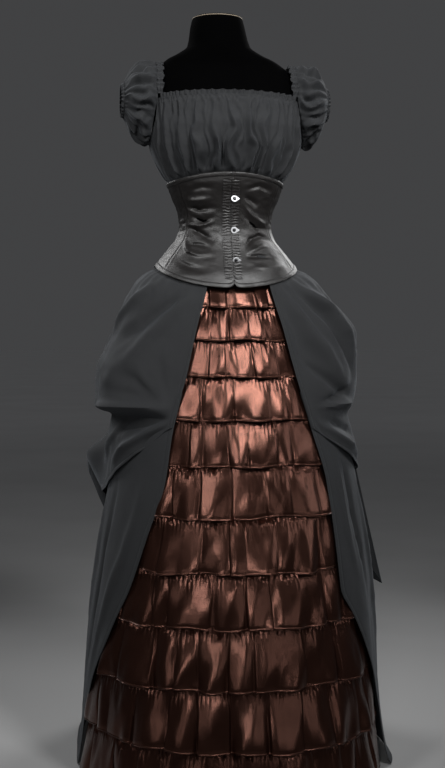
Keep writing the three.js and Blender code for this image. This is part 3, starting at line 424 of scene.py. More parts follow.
def shell(name, points, material, thick, loop):
    """Closed thin shell under a grid of outer points: rows run down, columns towards growing angles"""
    rows, columns = points.shape[:2]
    count = rows * columns
    inner = points - grid_normals(points, loop) * thick
    faces = grid_faces(rows, columns, loop)
    steps = sizes(np.diff(points, axis=1, append=points[:, :1])).mean(axis=0)
    u = np.concatenate([[0], np.cumsum(steps)])
    v = np.concatenate([[0], np.cumsum(sizes(np.diff(points, axis=0)).mean(axis=1))])
    i, j = np.divmod(np.arange(len(faces)), columns if loop else columns - 1)
    corners = ((0, 0), (0, 1), (1, 1), (1, 0))
    uv = np.stack([np.stack([u[j + right], v[i + down]], -1) for right, down in corners], 1)
    top = np.arange(columns if loop else columns - 1)
    after = (top + 1) % columns
    last = count - columns
    edges = [(top, after), (last + after, last + top)]
    if not loop:
        side = np.arange(rows - 1) * columns
        edges += [(side + columns, side), (side + columns - 1, side + 2 * columns - 1)]
    rim = np.concatenate([np.stack([a, b, b + count, a + count], -1) for a, b in edges])
    faces = np.concatenate([faces, faces[:, TURNED] + count, rim])
    uvs = np.concatenate([uv, uv[:, TURNED], np.zeros((len(rim), 4, 2))])
    both = np.concatenate([points.reshape(-1, 3), inner.reshape(-1, 3)])
    return mesh_object(name, both, faces, material, uvs)


def dressed(piece, slot, *nodes):
    """The piece rides on the dress and stands for its CAD nodes, which it hides. Its slot is not used."""
    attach(piece, "root")
    if nodes:
        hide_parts(*nodes)


def cloth(node, points, kind, thick=1.4, loop=False):
    """One cloth piece: a shell that stands for its node"""
    slot, material = CLOTHS[kind]
    piece = shell(node + "_cloth", points, material, thick, loop)
    dressed(piece, slot, node)


def gathered(node, points, thick=1.4, loop=False):
    """Gathered cotton over the piece that it rests on"""
    cloth(node, points, "cotton", thick, loop)


def spaced(length, step, near_start=(0,), near_end=(0,)):
    """Shares of a length: close to both ends at the given distances, evenly between them"""
    start = [d for d in near_start if d < length / 3]
    end = [length - d for d in near_end if d < length / 3]
    count = max(int(round((min(end) - max(start)) / step)), 1)
    middle = np.linspace(max(start), min(end), count + 1)
    return np.unique(np.concatenate([start, middle, end])) / length


# Narrow hems: distances from the edge where the mesh is fine, and the relief of fold and stitching
HEM_STEPS = (0, 0.7, 1.8, 4, 7, 8.2, 9, 9.8, 11, 14)
ROLL_STEPS = (0, 0.6, 1.3, 2, 3.2, 5)
STITCH_FROM_EDGE = 9


def hem_relief(away):
    """Folded hem: one more layer, a stitched groove and a rounded edge"""
    layer = 0.55 * ease(away, STITCH_FROM_EDGE + 1, STITCH_FROM_EDGE - 1)
    return layer - 0.75 * hump(away - STITCH_FROM_EDGE, 0.9) - 0.7 * ease(away, 1.8, 0)


# Materials

class Shader:
    """New material with its Principled shader, and short ways to add and link nodes"""

    def __init__(self, name):
        self.material = bpy.data.materials.new(name)
        self.material.use_nodes = True
        self.tree = self.material.node_tree
        self.principled = next(n for n in self.tree.nodes if n.type == "BSDF_PRINCIPLED")
        self.place = self.node("TexCoord", {})["Object"]

    def feed(self, made, inputs):
        for key, value in inputs.items():
            if isinstance(value, bpy.types.NodeSocket):
                self.tree.links.new(value, made.inputs[key])
            else:
                made.inputs[key].default_value = value

    def node(self, kind, inputs, **settings):
        made = self.tree.nodes.new("ShaderNode" + kind)
        for key, value in settings.items():
            setattr(made, key, value)
        self.feed(made, inputs)
        return made.outputs

    def math(self, operation, a, b):
        return self.node("Math", {0: a, 1: b}, operation=operation)[0]

    def grain(self, scale, detail, rough=0.5):
        values = {"Vector": self.place, "Scale": scale, "Detail": detail, "Roughness": rough}
        return self.node("TexNoise", values)["Fac"]

    def blend(self, factor, dark, light):
        values = {"Factor": factor, "A": dark, "B": (*light, 1)}
        return self.node("Mix", values, data_type="RGBA")["Result"]

    def between(self, value, low, high, start=0.0, end=1.0):
        values = {"Value": value, "From Min": start, "From Max": end, "To Min": low, "To Max": high}
        return self.node("MapRange", values)["Result"]

    def bump(self, height, strength, distance, **under):
        values = {"Height": height, "Strength": strength, "Distance": distance, **under}
        return self.node("Bump", values)["Normal"]

    def threads(self, direction):
        """Fine threads by the cloth's own UV map"""
        uv = self.node("UVMap", {}, uv_map="cloth")["UV"]
        values = {"Vector": uv, "Scale": 330.0, "Distortion": 0.6}
        return self.node("TexWave", values, wave_type="BANDS", bands_direction=direction)["Fac"]

    def finish(self, colour, roughness, **others):
        names = {"Base Color": colour, "Roughness": roughness}
        names.update({key.replace("_", " "): value for key, value in others.items()})
        self.feed(self.principled, names)
        return self.material


def cotton_material():
    """Matte charcoal cotton: plain weave, slubs, a little fluff and uneven dye"""
    s = Shader("charcoal_cotton")
    across, along = s.threads("X"), s.threads("Y")
    slub = s.grain(420.0, 3.0)
    dye = s.blend(s.grain(9.0, 6.0, 0.65), (0.0112, 0.0117, 0.0128, 1), (0.018, 0.0188, 0.0202))
    colour = s.blend(s.math("MULTIPLY", across, along), dye, (0.025, 0.0262, 0.028))
    weave = s.math("ADD", s.math("ADD", across, along), slub)
    return s.finish(colour, s.between(slub, 0.78, 0.95), Normal=s.bump(weave, 0.22, 0.0004),
                    Specular_IOR_Level=0.3, Sheen_Weight=0.1, Sheen_Roughness=0.45,
                    Sheen_Tint=(0.62, 0.68, 0.76, 1))


def satin_material(name, dark, light, metallic, rough, specular, streak):
    """Satin: long floats give a directional gloss, with uneven sheen and fine crinkles"""
    s = Shader(name)
    stretch = s.node("Mapping", {"Vector": s.place, "Scale": (60.0, 60.0, 12.0)})["Vector"]
    crinkle = s.node("TexNoise", {"Vector": stretch, "Scale": 1.0, "Detail": 2.0})["Fac"]
    floats = s.bump(s.threads("X"), streak, 0.0002)
    tangent = s.node("Tangent", {}, direction_type="UV_MAP", uv_map="cloth")["Tangent"]
    return s.finish(s.blend(s.grain(14.0, 5.0, 0.6), (*dark, 1), light),
                    s.between(s.grain(38.0, 4.0), *rough, 0.25, 0.75),
                    Normal=s.bump(crinkle, 0.14, 0.0012, Normal=floats), Tangent=tangent,
                    Anisotropic=0.45, Metallic=metallic, Specular_IOR_Level=specular)


def velvet_material():
    """Black velvet cover of the form"""
    s = Shader("black_velvet")
    colour = s.blend(s.grain(11.0, 4.0), (0.0003, 0.0003, 0.00035, 1), (0.0006, 0.0006, 0.0007))
    return s.finish(colour, 0.95, Normal=s.bump(s.grain(900.0, 2.0), 0.4, 0.0006),
                    Specular_IOR_Level=0.02, Sheen_Weight=0.004, Sheen_Roughness=0.3,
                    Sheen_Tint=(0.5, 0.5, 0.55, 1))


def metal_material(name, dark, light, metallic, rough_low, rough_high, scale=300.0):
    """Metal or painted metal with faint rubbing"""
    s = Shader(name)
    rubbed = s.grain(scale, 5.0)
    return s.finish(s.blend(rubbed, (*dark, 1), light), s.between(rubbed, rough_low, rough_high),
                    Normal=s.bump(rubbed, 0.06, 0.0003), Metallic=metallic)


def thread_material(name, colour):
    """Twisted sewing thread"""
    s = Shader(name)
    return s.finish(s.blend(s.grain(1500.0, 2.0), (*colour, 1), [1.7 * c for c in colour]), 0.6)


VELVET = velvet_material()
STEEL = metal_material("polished_steel", (0.56, 0.57, 0.59), (0.76, 0.77, 0.79), 0.42, 0.48, 0.62)
# Stud steel: a duller steel than the loops, and also painted dark as shade so the hole of each loop reads
# dark
STUD_STEEL_SHADED = metal_material("stud_steel_painted_shade", (0.05, 0.05, 0.052), (0.09, 0.09, 0.094), 0.9, 0.3, 0.42)
BLACK_PAINT = metal_material("stand_paint", (0.012, 0.012, 0.013), (0.022, 0.022, 0.024),
                             0.3, 0.35, 0.5, 40.0)
BLACK_THREAD = thread_material("black_thread", (0.02, 0.02, 0.022))
COPPER_THREAD = thread_material("copper_thread", (0.12, 0.05, 0.03))
CREAM = thread_material("cream_tape", (0.2, 0.165, 0.12))
CLOTHS = {
    "cotton": ("cotton", cotton_material()),
    "satin": ("satin", satin_material("black_satin", (0.0062, 0.0055, 0.0053), (0.0115, 0.0101, 0.0096),
                                      0.0, (0.34, 0.48), 0.44, 0.3)),
    "copper": ("copper_satin", satin_material("copper_satin", (0.042, 0.0172, 0.0116),
                                              (0.084, 0.0343, 0.0236), 0.86, (0.185, 0.25), 0.5, 0.2)),
}


def stitches(name, line, normal, material, slot, pitch, long=2.2, thick=0.32):
    """Row of stitches along a line of points: each is a small pointed thread lying on the cloth"""
    places = np.concatenate([[0], np.cumsum(sizes(np.diff(line, axis=0)))])
    middles = np.arange(pitch, places[-1] - pitch, pitch)

    def read(values, at):
        return np.stack([np.interp(at, places, values[:, n]) for n in range(3)], -1)

    way = read(line, middles + 0.5) - read(line, middles - 0.5)
    way /= sizes(way)[:, None]
    side = np.cross(way, read(normal, middles))
    side /= np.maximum(sizes(side)[:, None], 1e-9)
    up = np.cross(side, way)
    centre = read(line, middles) + up * 0.12
    ring = [way * long / 2, side * thick, up * thick, -side * thick, -up * thick, -way * long / 2]
    points = np.stack([centre + offset for offset in ring], axis=1).reshape(-1, 3)
    corners = [(0, 1, 2), (0, 2, 3), (0, 3, 4), (0, 4, 1), (5, 2, 1), (5, 3, 2), (5, 4, 3), (5, 1, 4)]
    faces = (np.arange(len(centre))[:, None, None] * 6 + np.array(corners)[None]).reshape(-1, 3)
    dressed(mesh_object(name, points, faces, material, sharp=180), slot)


# Dress form: rounded edge of the neck's top, and the piping round it
NECK_ROUNDING = 3.0
PIPING_HIGH = 1639.0
PIPING_RADIUS = 0.9


def build_form():
    coarse = [row["z"] for row in FORM]
    heights = np.unique([np.linspace(low, high, 5) for low, high in zip(coarse, coarse[1:])])
    crown = coarse[-1] - NECK_ROUNDING
    angles = np.arange(0, 360, 4.0)
    rings = [on_section(FORM, angles, z + 0 * angles) for z in heights[heights < crown]]
    for bend in np.radians([10, 30, 50, 70, 90]):
        ring = on_section(FORM, angles, crown + 0 * angles, -NECK_ROUNDING * (1 - math.cos(bend)))
        ring[:, 2] = crown + NECK_ROUNDING * math.sin(bend)
        rings.append(ring)
    points = np.array(rings)
    rows, columns = points.shape[:2]
    faces = grid_faces(rows, columns, True)[:, TURNED]
    ring = np.arange(columns)
    after = (ring + 1) % columns
    count, top = rows * columns, (rows - 1) * columns
    caps = [np.stack([count + 0 * ring, after, ring], -1)]
    caps.append(np.stack([count + 1 + 0 * ring, top + ring, top + after], -1))
    corners = np.concatenate([points.reshape(-1, 3), points[:1].mean(axis=1), points[-1:].mean(axis=1)])
    triangles = np.concatenate([faces[:, [0, 1, 2]], faces[:, [0, 2, 3]], *caps])
    torso = mesh_object("form_torso_cover", corners, triangles, VELVET, sharp=70)
    dressed(torso, "velvet", "form_torso")
    line = on_section(FORM, np.arange(0, 360, 6.0), np.full(60, PIPING_HIGH), 0.4)
    out = line - line.mean(axis=0)
    out = out / sizes(out)[:, None] * PIPING_RADIUS
    turns = np.radians(np.arange(0, 360, 45.0))
    tube = [line + out * math.cos(a) + np.array([0, 0, PIPING_RADIUS * math.sin(a)]) for a in turns]
    faces = grid_faces(len(turns) + 1, 60, True)[:, TURNED] % (len(turns) * 60)
    dressed(mesh_object("neck_piping", np.concatenate(tube), faces, CREAM), "velvet")


# Corset. Panels are 0.3 mm apart at the seams.
CORSET_GAP = math.degrees(0.15 / CORSET_NARROWEST)
BINDING_OVER = 0.9


def corset_top(angle):
    c = np.cos(np.radians(angle))
    return CORSET_TOP + np.where(c > 0, *CORSET_TOP_RISE) * c * c


def corset_bottom(angle):
    c = np.cos(np.radians(angle))
    aside = np.abs(column(CORSET, "wide", 1080.0) * np.sin(np.radians(angle)))
    notch = np.where(c > 0, CORSET_NOTCH_HIGH * np.exp(-aside / CORSET_NOTCH_WIDE), 0)
    return CORSET_BOTTOM - np.where(c > 0, *CORSET_POINT_DROP) * np.abs(c) ** 1.6 + notch


def corset_relief(angle, z):
    """Pulled satin wrinkles, bone channels beside the seams and crinkles of the side panels"""
    signed = wrapped(angle)
    aside = np.abs(signed)
    busk = ease(aside, 9, 15)
    relief = 2.4 * crease_relief(CORSET_CREASES, signed, z, 100) * busk
    relief += ease(aside, 100, 125) * 1.3 * crumple(signed / 22, z / 16, 5)
    relief += 0.8 * busk * crumple(signed / 11, z / 9, 9)
    for seam, reach in ((SIDE_SEAM, 4.5), (BACK_SEAM, 4.5), (88, 4)):
        away = (aside - seam) * math.radians(100)
        relief += 0.8 * hump(np.abs(away) - reach, 2.2) - 0.6 * hump(away, 1.1)
    sides = ease(aside, SIDE_SEAM + 1, SIDE_SEAM + 8) * ease(aside, BACK_SEAM - 1, BACK_SEAM - 8)
    puckers = noise(signed / 7, z / 5.5, 11) + 0.6 * noise(signed / 3.5, z / 3.2, 12)
    return relief + sides * 0.55 * puckers


def corset_panel(node, start, end):
    angles = np.linspace(start + CORSET_GAP, end - CORSET_GAP, 56)[None, :]
    share = np.linspace(0, 1, 86)[:, None]
    z = mix(corset_top(angles), corset_bottom(angles), share)
    inside = ease(np.minimum(share, 1 - share) * 200, 6, 14)
    points = on_section(CORSET, angles, z, corset_relief(angles + 0 * z, z) * inside - 0.3)
    cloth(node, points, "satin", thick=1.5)


def binding(node, top):
    """Bias binding over an edge: a soft rounded band with slight pulls"""
    angles = np.linspace(CORSET_GAP, 360 - CORSET_GAP, 300)[None, :]
    across = np.linspace(0, 1, 11)[:, None]
    start = corset_top(angles) + BINDING_OVER if top else corset_bottom(angles) + BINDING_HIGH
    crown = np.sqrt(np.clip(1 - (2 * across - 1) ** 2, 0, 1))
    pulls = 0.22 * noise(angles * 1.1 + 3 * across, across * 2, 21)
    outset = 0.8 + 1.1 * crown + 1.6 * pulls * crown - 1.4 * ease(across if top else 1 - across, 0.12, 0)
    points = on_section(CORSET, angles, start - (BINDING_HIGH + BINDING_OVER) * across, outset)
    cloth(node, points, "satin", thick=1.0)
    row = 9 if top else 1
    normals = grid_normals(points)[row]
    stitches(node + "_stitches", points[row] + normals * 0.1, normals, BLACK_THREAD, "satin", 3.4)


def on_front(x, z, outset):
    wide = column(CORSET, "wide", z) + outset
    return on_section(CORSET, np.degrees(np.arcsin(x / wide)), z, outset)


def busk_strip(node, side):
    """Busk cover: satin band with close sideways puckers between two stitched edges"""
    start, end = (-BUSK_WIDE, -0.4) if side < 0 else (0.4, BUSK_WIDE)
    x = np.linspace(start, end, 15)[None, :]
    share = np.linspace(BUSK_TOP_SHARE, BUSK_BOTTOM_SHARE, 200)[:, None]
    angle = np.degrees(np.arcsin(x / 100))
    z = mix(corset_top(angle), corset_bottom(angle), share)
    inside = np.sqrt(np.clip(1 - (2 * (x - start) / (end - start) - 1) ** 2, 0, 1))
    wave = np.sin(z * 2 * math.pi / 6.2 + 2.4 * noise(x / 7, z / 9, 31))
    outset = 1.5 + 0.35 * inside + 0.5 * wave * inside * (0.65 + 0.35 * noise(x / 9, z / 14, 33))
    seams = {"outer": BUSK_WIDE - 2.2, "inner": 3.0}
    aside = np.abs(x)
    outset = outset - 0.4 * hump(aside - seams["outer"], 0.7) - 0.3 * hump(aside - seams["inner"], 0.6)
    points = on_front(x, z, outset)
    cloth(node, points, "satin", thick=1.0)
    normals = grid_normals(points)
    for label, seam in seams.items():
        at = np.abs(aside[0] - seam).argmin()
        stitches(f"{node}_stitches_{label}", points[:, at], normals[:, at], BLACK_THREAD, "satin", 3.0)


# Busk fastenings: height, and gap over the strip
BUSK = table("z gap", (1243, 0.6), (1177, 1), (1112, 0.6))
LOOP_RADIUS = 7
LOOP_POINT = 12
LOOP_HOLE = 3.8
LOOP_THICK = 1.6
LOOP_BEVEL = 0.45
LOOP_SEAT = 2.0
STUD = table(
    "radius high",
    (0.01, 0), (1.9, 0), (1.9, 1.6), (2.6, 1.75), (3.05, 2.0), (3.1, 2.4), (2.9, 2.8), (2.3, 3.15),
    (1.5, 3.2), (1.1, 2.7), (0.01, 2.5),
)


def loop_mesh():
    """Flat teardrop with a round hole and rounded edges"""
    tangent = math.acos(LOOP_RADIUS / LOOP_POINT)
    around = np.linspace(tangent, 2 * math.pi - tangent, 40)
    outline = [(LOOP_RADIUS * math.cos(a), LOOP_RADIUS * math.sin(a)) for a in around]
    outline += [(LOOP_POINT - 0.8, -0.7), (LOOP_POINT - 0.2, 0), (LOOP_POINT - 0.8, 0.7)]
    turns = np.linspace(0, 2 * math.pi, 28, False)
    hole = [(LOOP_HOLE * math.cos(a), LOOP_HOLE * math.sin(a)) for a in turns]
    plate = bpy.data.curves.new("loop_outline", "CURVE")
    plate.dimensions = "2D"
    plate.fill_mode = "BOTH"
    plate.extrude = (LOOP_THICK / 2 - LOOP_BEVEL) * MM
    plate.bevel_depth = LOOP_BEVEL * MM
    plate.bevel_resolution = 3
    plate.offset = -LOOP_BEVEL * MM
    for ring in (outline, hole):
        spline = plate.splines.new("POLY")
        spline.points.add(len(ring) - 1)
        for point, (x, y) in zip(spline.points, ring):
            point.co = (x * MM, y * MM, 0, 1)
        spline.use_cyclic_u = True
    shape = placed("loop_shape", plate)
    bpy.context.view_layer.update()
    graph = bpy.context.evaluated_depsgraph_get()
    mesh = bpy.data.meshes.new_from_object(shape.evaluated_get(graph))
    bpy.data.objects.remove(shape)
    bpy.data.curves.remove(plate)
    return mesh


def busk_loop(number, height, gap):
    """Steel loop, and the stud that it is hooked on"""
    centre = LOOP_RADIUS - 0.5

    def seat(x, z):
        return on_front(np.array(x), np.array(float(z)), LOOP_SEAT + gap)

    above, below = seat(centre, height + LOOP_RADIUS), seat(centre, height - LOOP_RADIUS)
    place = (above + below) / 2
    lean = math.atan2(above[1] - below[1], 2 * LOOP_RADIUS)
    turn = math.atan2(seat(centre + 5.0, height)[1] - place[1], 5)
    across = Vector((math.cos(turn), math.sin(turn), 0))
    out = Vector((math.sin(turn), -math.cos(lean), -math.sin(lean))).normalized()
    up = out.cross(across).normalized()
    across = up.cross(out).normalized()
    mesh = loop_mesh()
    for vertex in mesh.vertices:
        x, y, z = vertex.co
        vertex.co = Vector(place) * MM + across * x + up * y + out * (z + LOOP_THICK / 2 * MM)
    mesh.materials.clear()
    mesh.materials.append(STEEL)
    for polygon in mesh.polygons:
        polygon.use_smooth = True
    mesh.set_sharp_from_angle(angle=math.radians(35))
    dressed(placed(f"busk_loop_{number}_steel", mesh), "steel", f"busk_loop_{number}")
    turns = np.linspace(0, 2 * math.pi, 28, False)[:, None]
    ring = np.array(across) * np.cos(turns) + np.array(up) * np.sin(turns)
    points = np.concatenate([place + ring * row["radius"] + np.array(out) * row["high"] for row in STUD])
    faces = grid_faces(len(STUD), len(turns), True)[:, TURNED]
    # The stud's dark steel is partly its duller finish and partly painted shade in the loop's hole
    stud = mesh_object(f"busk_stud_{number}_steel", points, faces, STUD_STEEL_SHADED, sharp=40)
    dressed(stud, "steel", f"busk_stud_{number}")


def build_corset():
    panels = {"front": (0, SIDE_SEAM), "side": (SIDE_SEAM, BACK_SEAM), "back": (BACK_SEAM, 180)}
    for name, (start, end) in panels.items():
        corset_panel(f"corset_{name}_r", start, end)
        corset_panel(f"corset_{name}_l", -end, -start)
    binding("corset_binding_top", True)
    binding("corset_binding_bottom", False)
    busk_strip("busk_strip_l", -1)
    busk_strip("busk_strip_r", 1)
    for number, row in enumerate(BUSK):
        busk_loop(number + 1, row["z"], row["gap"])


# Bodice and sleeves

def bodice_top(angle):
    aside = np.abs((angle + 180) % 360 - 180)
    middle, half = (ARMHOLE_FRONT + ARMHOLE_BACK) / 2, (ARMHOLE_BACK - ARMHOLE_FRONT) / 2
    front = NECKLINE_FRONT - (NECKLINE_FRONT - NECKLINE_CORNER) * (aside / ARMHOLE_FRONT) ** 2
    behind = (180 - aside) / (180 - ARMHOLE_BACK)
    back = NECKLINE_BACK - (NECKLINE_BACK - NECKLINE_CORNER) * behind ** 2
    arm = NECKLINE_CORNER - ARMHOLE_DEEP * np.sqrt(np.clip(1 - ((aside - middle) / half) ** 2, 0, 1))
    return np.where(aside <= ARMHOLE_FRONT, front, np.where(aside >= ARMHOLE_BACK, back, arm))


def bodice_relief(ridges, angle, z, below_top, above_corset):
    """Gathers: narrow ridges that wander, split in two towards the neckline and crowd at both edges"""
    wander = angle + 4.5 * noise(angle / 17, z / 48, 41) + 1.6 * noise(angle / 6, z / 25, 42)
    phase = np.interp(wander, ridges, np.arange(len(ridges)))
    away = np.abs(phase - np.round(phase))
    tall = 0.65 + 0.5 * noise(np.round(phase) * 1.7, z / 70, 43)
    ridge = hump(away, 0.15) - 0.55 * hump(away - 0.34, 0.14)
    split = hump(2 * phase - np.round(2 * phase), 0.2) - 0.5
    upward = ease(below_top, 62, 22)
    low = ease(above_corset, 95, 30)
    relief = ridge * tall * (9.0 + 4.0 * low) * (1 - upward) + split * 5.2 * upward * ease(below_top, 8, 20)
    crowd = pleats(wander, 118, 7.5, 2.2 * noise(angle / 5, z / 20, 44))
    reach = 15 + 9 * along_noise(angle / 4.2, 45)
    relief += 1.5 * crowd * fade(below_top - 4, reach) * ease(below_top, 2, 5)
    bottom = pleats(wander, 110, 10.5, 2.6 * noise(angle / 7, z / 24, 46))
    relief += 2.2 * bottom * fade(above_corset, 16 + 8 * along_noise(angle / 6, 47))
    return relief + 2.4 * crumple(angle / 9, z / 30, 48)


def bodice_half(name, ridges, start, end, columns):
    angle = np.linspace(start, end, columns)[None, :]
    top, edge = bodice_top(angle), corset_top(angle)
    drop = np.concatenate([np.linspace(0, 0.1, 9), np.linspace(0.115, 1, 56)])[:, None]
    z = mix(top, edge - 11, drop)
    lift = edge - CORSET_TOP
    near_arm = ease(1 - np.abs(np.sin(np.radians(angle))), 0.01, 0.14)
    relief = bodice_relief(ridges, angle + 0 * z, z, top - z, z - edge)
    outset = relief * (0.25 + 0.75 * near_arm) * ease(z - lift, 1284, 1296)
    seat = z - lift * ease(z, 1420, 1290)
    points = on_section(BODICE, angle, seat, outset - 0.9 * hump(top - z - 5.5, 2.0))
    points[..., 2] = z
    gathered(f"bodice_{name}", points)


def neckline_frill(name, middle):
    angle = np.linspace(middle - FRILL_END, middle + FRILL_END, 380)[None, :]
    rise = np.linspace(FRILL_HIGH + 0.5, 0.5, 10)[:, None]
    share = rise / FRILL_HIGH
    phase = np.radians(angle) * 115 * 2 * math.pi / 7.2 + 2.6 * along_noise(angle / 6, 51)
    wave = np.sin(phase) * (0.7 + 0.4 * along_noise(angle / 4, 52))
    outset = 0.1 + 2.3 * wave * (0.35 + 0.65 * share)
    points = on_section(BODICE, angle, bodice_top(angle) + 0 * rise, outset)
    points[..., 2] = bodice_top(angle) + rise + 0.9 * np.sin(phase * 0.5 + 1) * share - 0.8
    gathered(f"neckline_frill_{name}", points, 0.9)


def build_bodice():
    bodice_half("front", FRONT_GATHERS, -89.88, 89.88, 270)
    bodice_half("back", BACK_GATHERS, 90.12, 269.88, 200)
    neckline_frill("front", 0)
    neckline_frill("back", 180)


def sleeve_root(y, z):
    low = np.minimum(z, NECKLINE_FRONT)
    deep = np.where(y < 0, column(BODICE, "front", low), column(BODICE, "back", low))
    side = column(BODICE, "wide", low) * np.sqrt(np.clip(1 - (y / deep) ** 2, 0, None))
    return mix(side + SLEEVE_ROOT_GAP + 0.03 * np.abs(y), SHOULDER_REACH, ease(z, 1450, 1515))


def sleeve_point(side, along, turn, outset=0.0, beyond=0.0):
    """Point of a sleeve: along from root to cuff, turned round it with 0 on top and 90 in front"""
    a = np.radians(turn)
    high = column(SLEEVE, "high", along) + outset
    deep = column(SLEEVE, "deep", along) + outset
    root = sleeve_root(-SLEEVE[0]["deep"] * np.sin(a), SLEEVE[0]["rise"] + SLEEVE[0]["high"] * np.cos(a))
    x = side * (mix(root, CUFF_REACH, along) + beyond)
    z = column(SLEEVE, "rise", along) + high * np.cos(a)
    return np.stack(np.broadcast_arrays(x, -deep * np.sin(a), z), axis=-1)


def sleeve_relief(along, turn, seed):
    """Gathers that start at the shoulder band and the cuff and open into soft deep folds between"""
    a = np.radians(turn)
    cx, cy = np.cos(a), np.sin(a)
    bend = 0.9 * noise(2.2 * cx + 5, 2.2 * cy + 3 * along, seed)
    bend += 0.5 * noise(4 * cx, 4 * cy + 5 * along, seed + 1)
    middle = np.sin(np.pi * np.clip(along, 0, 1))
    big = np.sin(9 * a + 2.6 * bend) * (0.8 + 0.5 * noise(3 * cx + 9, 3 * cy, seed + 2))
    small = np.sin(21 * a + 2.2 * bend)
    root = np.sin(40 * a + 2.5 * noise(6 * cx, 6 * cy, seed + 3))
    cuff = np.sin(26 * a + 2.2 * noise(5 * cx + 4, 5 * cy, seed + 4))
    relief = 8.5 * big * middle ** 0.8 + 5.2 * small * middle
    relief += 1.8 * root * np.exp(-along / 0.14) + 2.4 * cuff * np.exp(-(1 - along) / 0.18)
    return relief + 0.9 * middle * noise(7 * cx + 2 * along, 7 * cy + 6 * along, seed + 5)


def build_sleeve(side, label):
    turns = -side * np.arange(0, 360, 1.8)[None, :]
    along = np.concatenate([np.linspace(0, 0.2, 13), np.linspace(0.222, 0.86, 28), np.linspace(0.88, 1, 9)])
    along = along[:, None]
    relief = sleeve_relief(along, turns, 60 + side) * (0.45 + 0.55 * ease(along, 0, 0.1))
    points = sleeve_point(side, along, turns, relief - 0.5 * ease(along, 0.1, 0))
    gathered(f"sleeve_{label}", points, loop=True)
    outward = np.linspace(0.3, 7, 8)[:, None]
    share = outward / 7
    a = np.radians(turns)
    wave = np.sin(22 * a + 2.4 * noise(4 * np.cos(a), 4 * np.sin(a), 71))
    outset = -1.4 * hump(outward, 1.4) - (6.0 * share - 0.4) + 2.8 * wave * share
    points = sleeve_point(side, np.ones((1, 1)), turns, outset, outward)
    gathered(f"cuff_frill_{label}", points, 0.9, True)
    over = -side * np.linspace(-80, 80, 230)[None, :]
    inward = np.linspace(SHOULDER_BAND, -1.0, 13)[:, None]
    share = (inward + 1.0) / (SHOULDER_BAND + 1.0) - 0.42
    phase = 44 * np.radians(over) + 2.4 * along_noise(over / 14, 73)
    wave = np.sin(phase) * (0.75 + 0.35 * along_noise(over / 9, 74))
    outset = 1.9 + wave * (1.0 + 3.4 * np.abs(share)) - 1.3 * hump(share, 0.1)
    edge = inward + 3.4 * np.sin(0.5 * phase + along_noise(over / 5, 75)) * share
    points = sleeve_point(side, np.zeros((1, 1)), over, outset, -edge)
    gathered(f"shoulder_frill_{label}", points, 0.9)


# Underskirt

def opening_edge(angle, z):
    return np.where(angle < 0, column(OPENING, "left", z), column(OPENING, "right", z))


def tier_folds(folds, start, end, radius, tier):
    """Fold angles, carried on at uneven spacing to the tier's ends"""
    every = [angle for angle in folds if start < angle < end]
    pitch = math.degrees(RUFFLE_SPACING / radius)

    def uneven(n):
        return pitch * (1 + 0.28 * math.sin(2.4 * n + 1.7 * tier))

    a, n = every[0] - uneven(1), 2
    while a > start + pitch / 3:
        every.insert(0, a)
        a -= uneven(n)
        n += 1
    a, n = every[-1] + uneven(5), 6
    while a < end - pitch / 3:
        every.append(a)
        a += uneven(n)
        n += 1
    return every


def ruffle_relief(tier, folds, angle, share, below, radius, height):
    """Knife-like folds that deepen to the hem, soft billows between them and small gathers on top"""
    s = np.radians(angle) * radius
    grow = share ** 0.75
    low = float(ease(tier, 3, 8))
    deep = mix(FOLD_TOP_DEEP, FOLD_HEM_DEEP * (1 + 0.6 * low), grow)
    relief = np.zeros(np.broadcast(s, share).shape)
    for number, fold in enumerate(folds):
        key = 3.7 * number + 1.3 * tier
        strength = 0.72 + 0.38 * math.sin(1.9 * key + 0.6)
        x = s - math.radians(fold) * radius - 5.0 * math.sin(2.1 * key) * (share - 1)
        x = x - 1.5 * along_noise(share * 2.3 + key, tier)
        x = x if math.sin(2.7 * key) > -0.2 else -x
        cliff = 1 / (1 + np.exp(-np.clip(x / mix(1.2, 1.9, share) * 2, -30, 30)))
        rise = 0.42 * cliff * fade(x, mix(8, 20, share))
        fall = 0.72 * (1 - cliff) * fade(-x, mix(7, 15, share))
        relief += deep * strength * (rise - fall)
    panel = np.interp(angle, folds, np.arange(len(folds))) + 0 * share
    skew = np.exp(0.45 * np.sin(2.9 * np.floor(panel) + tier))
    bulge = np.sin(np.pi * (panel - np.floor(panel)) ** skew) ** 0.8
    billow = noise(s / 34 + 0.9 * share + 7.1 * tier, share * height / 120 + tier, 80 + tier)
    relief += ((5.0 + 4.5 * low) * (bulge - 0.6) + (6.4 + 4.0 * low) * billow) * grow
    soft = noise(s / 15 + 3.3 * tier, share * height / 42 + 2 * tier, 90 + tier)
    relief += 0.9 * soft * ease(share, 0.05, 0.4)
    relief += 1.8 * np.sin(np.pi * np.clip(share, 0, 1)) * ease(share, 0, 0.3)
    pitch = 8.4 + 0.9 * math.sin(tier)
    gathers = pleats(angle, radius, pitch, 2.4 * noise(s / 11, below / 25, 100 + tier))
    short = fade(below - 12, np.clip(9 + 6 * along_noise(s / 9, 110 + tier), 3, None))
    return relief + (2.6 + 1.5 * along_noise(s / 13, 120 + tier)) * gathers * short * ease(below, 0, 4)


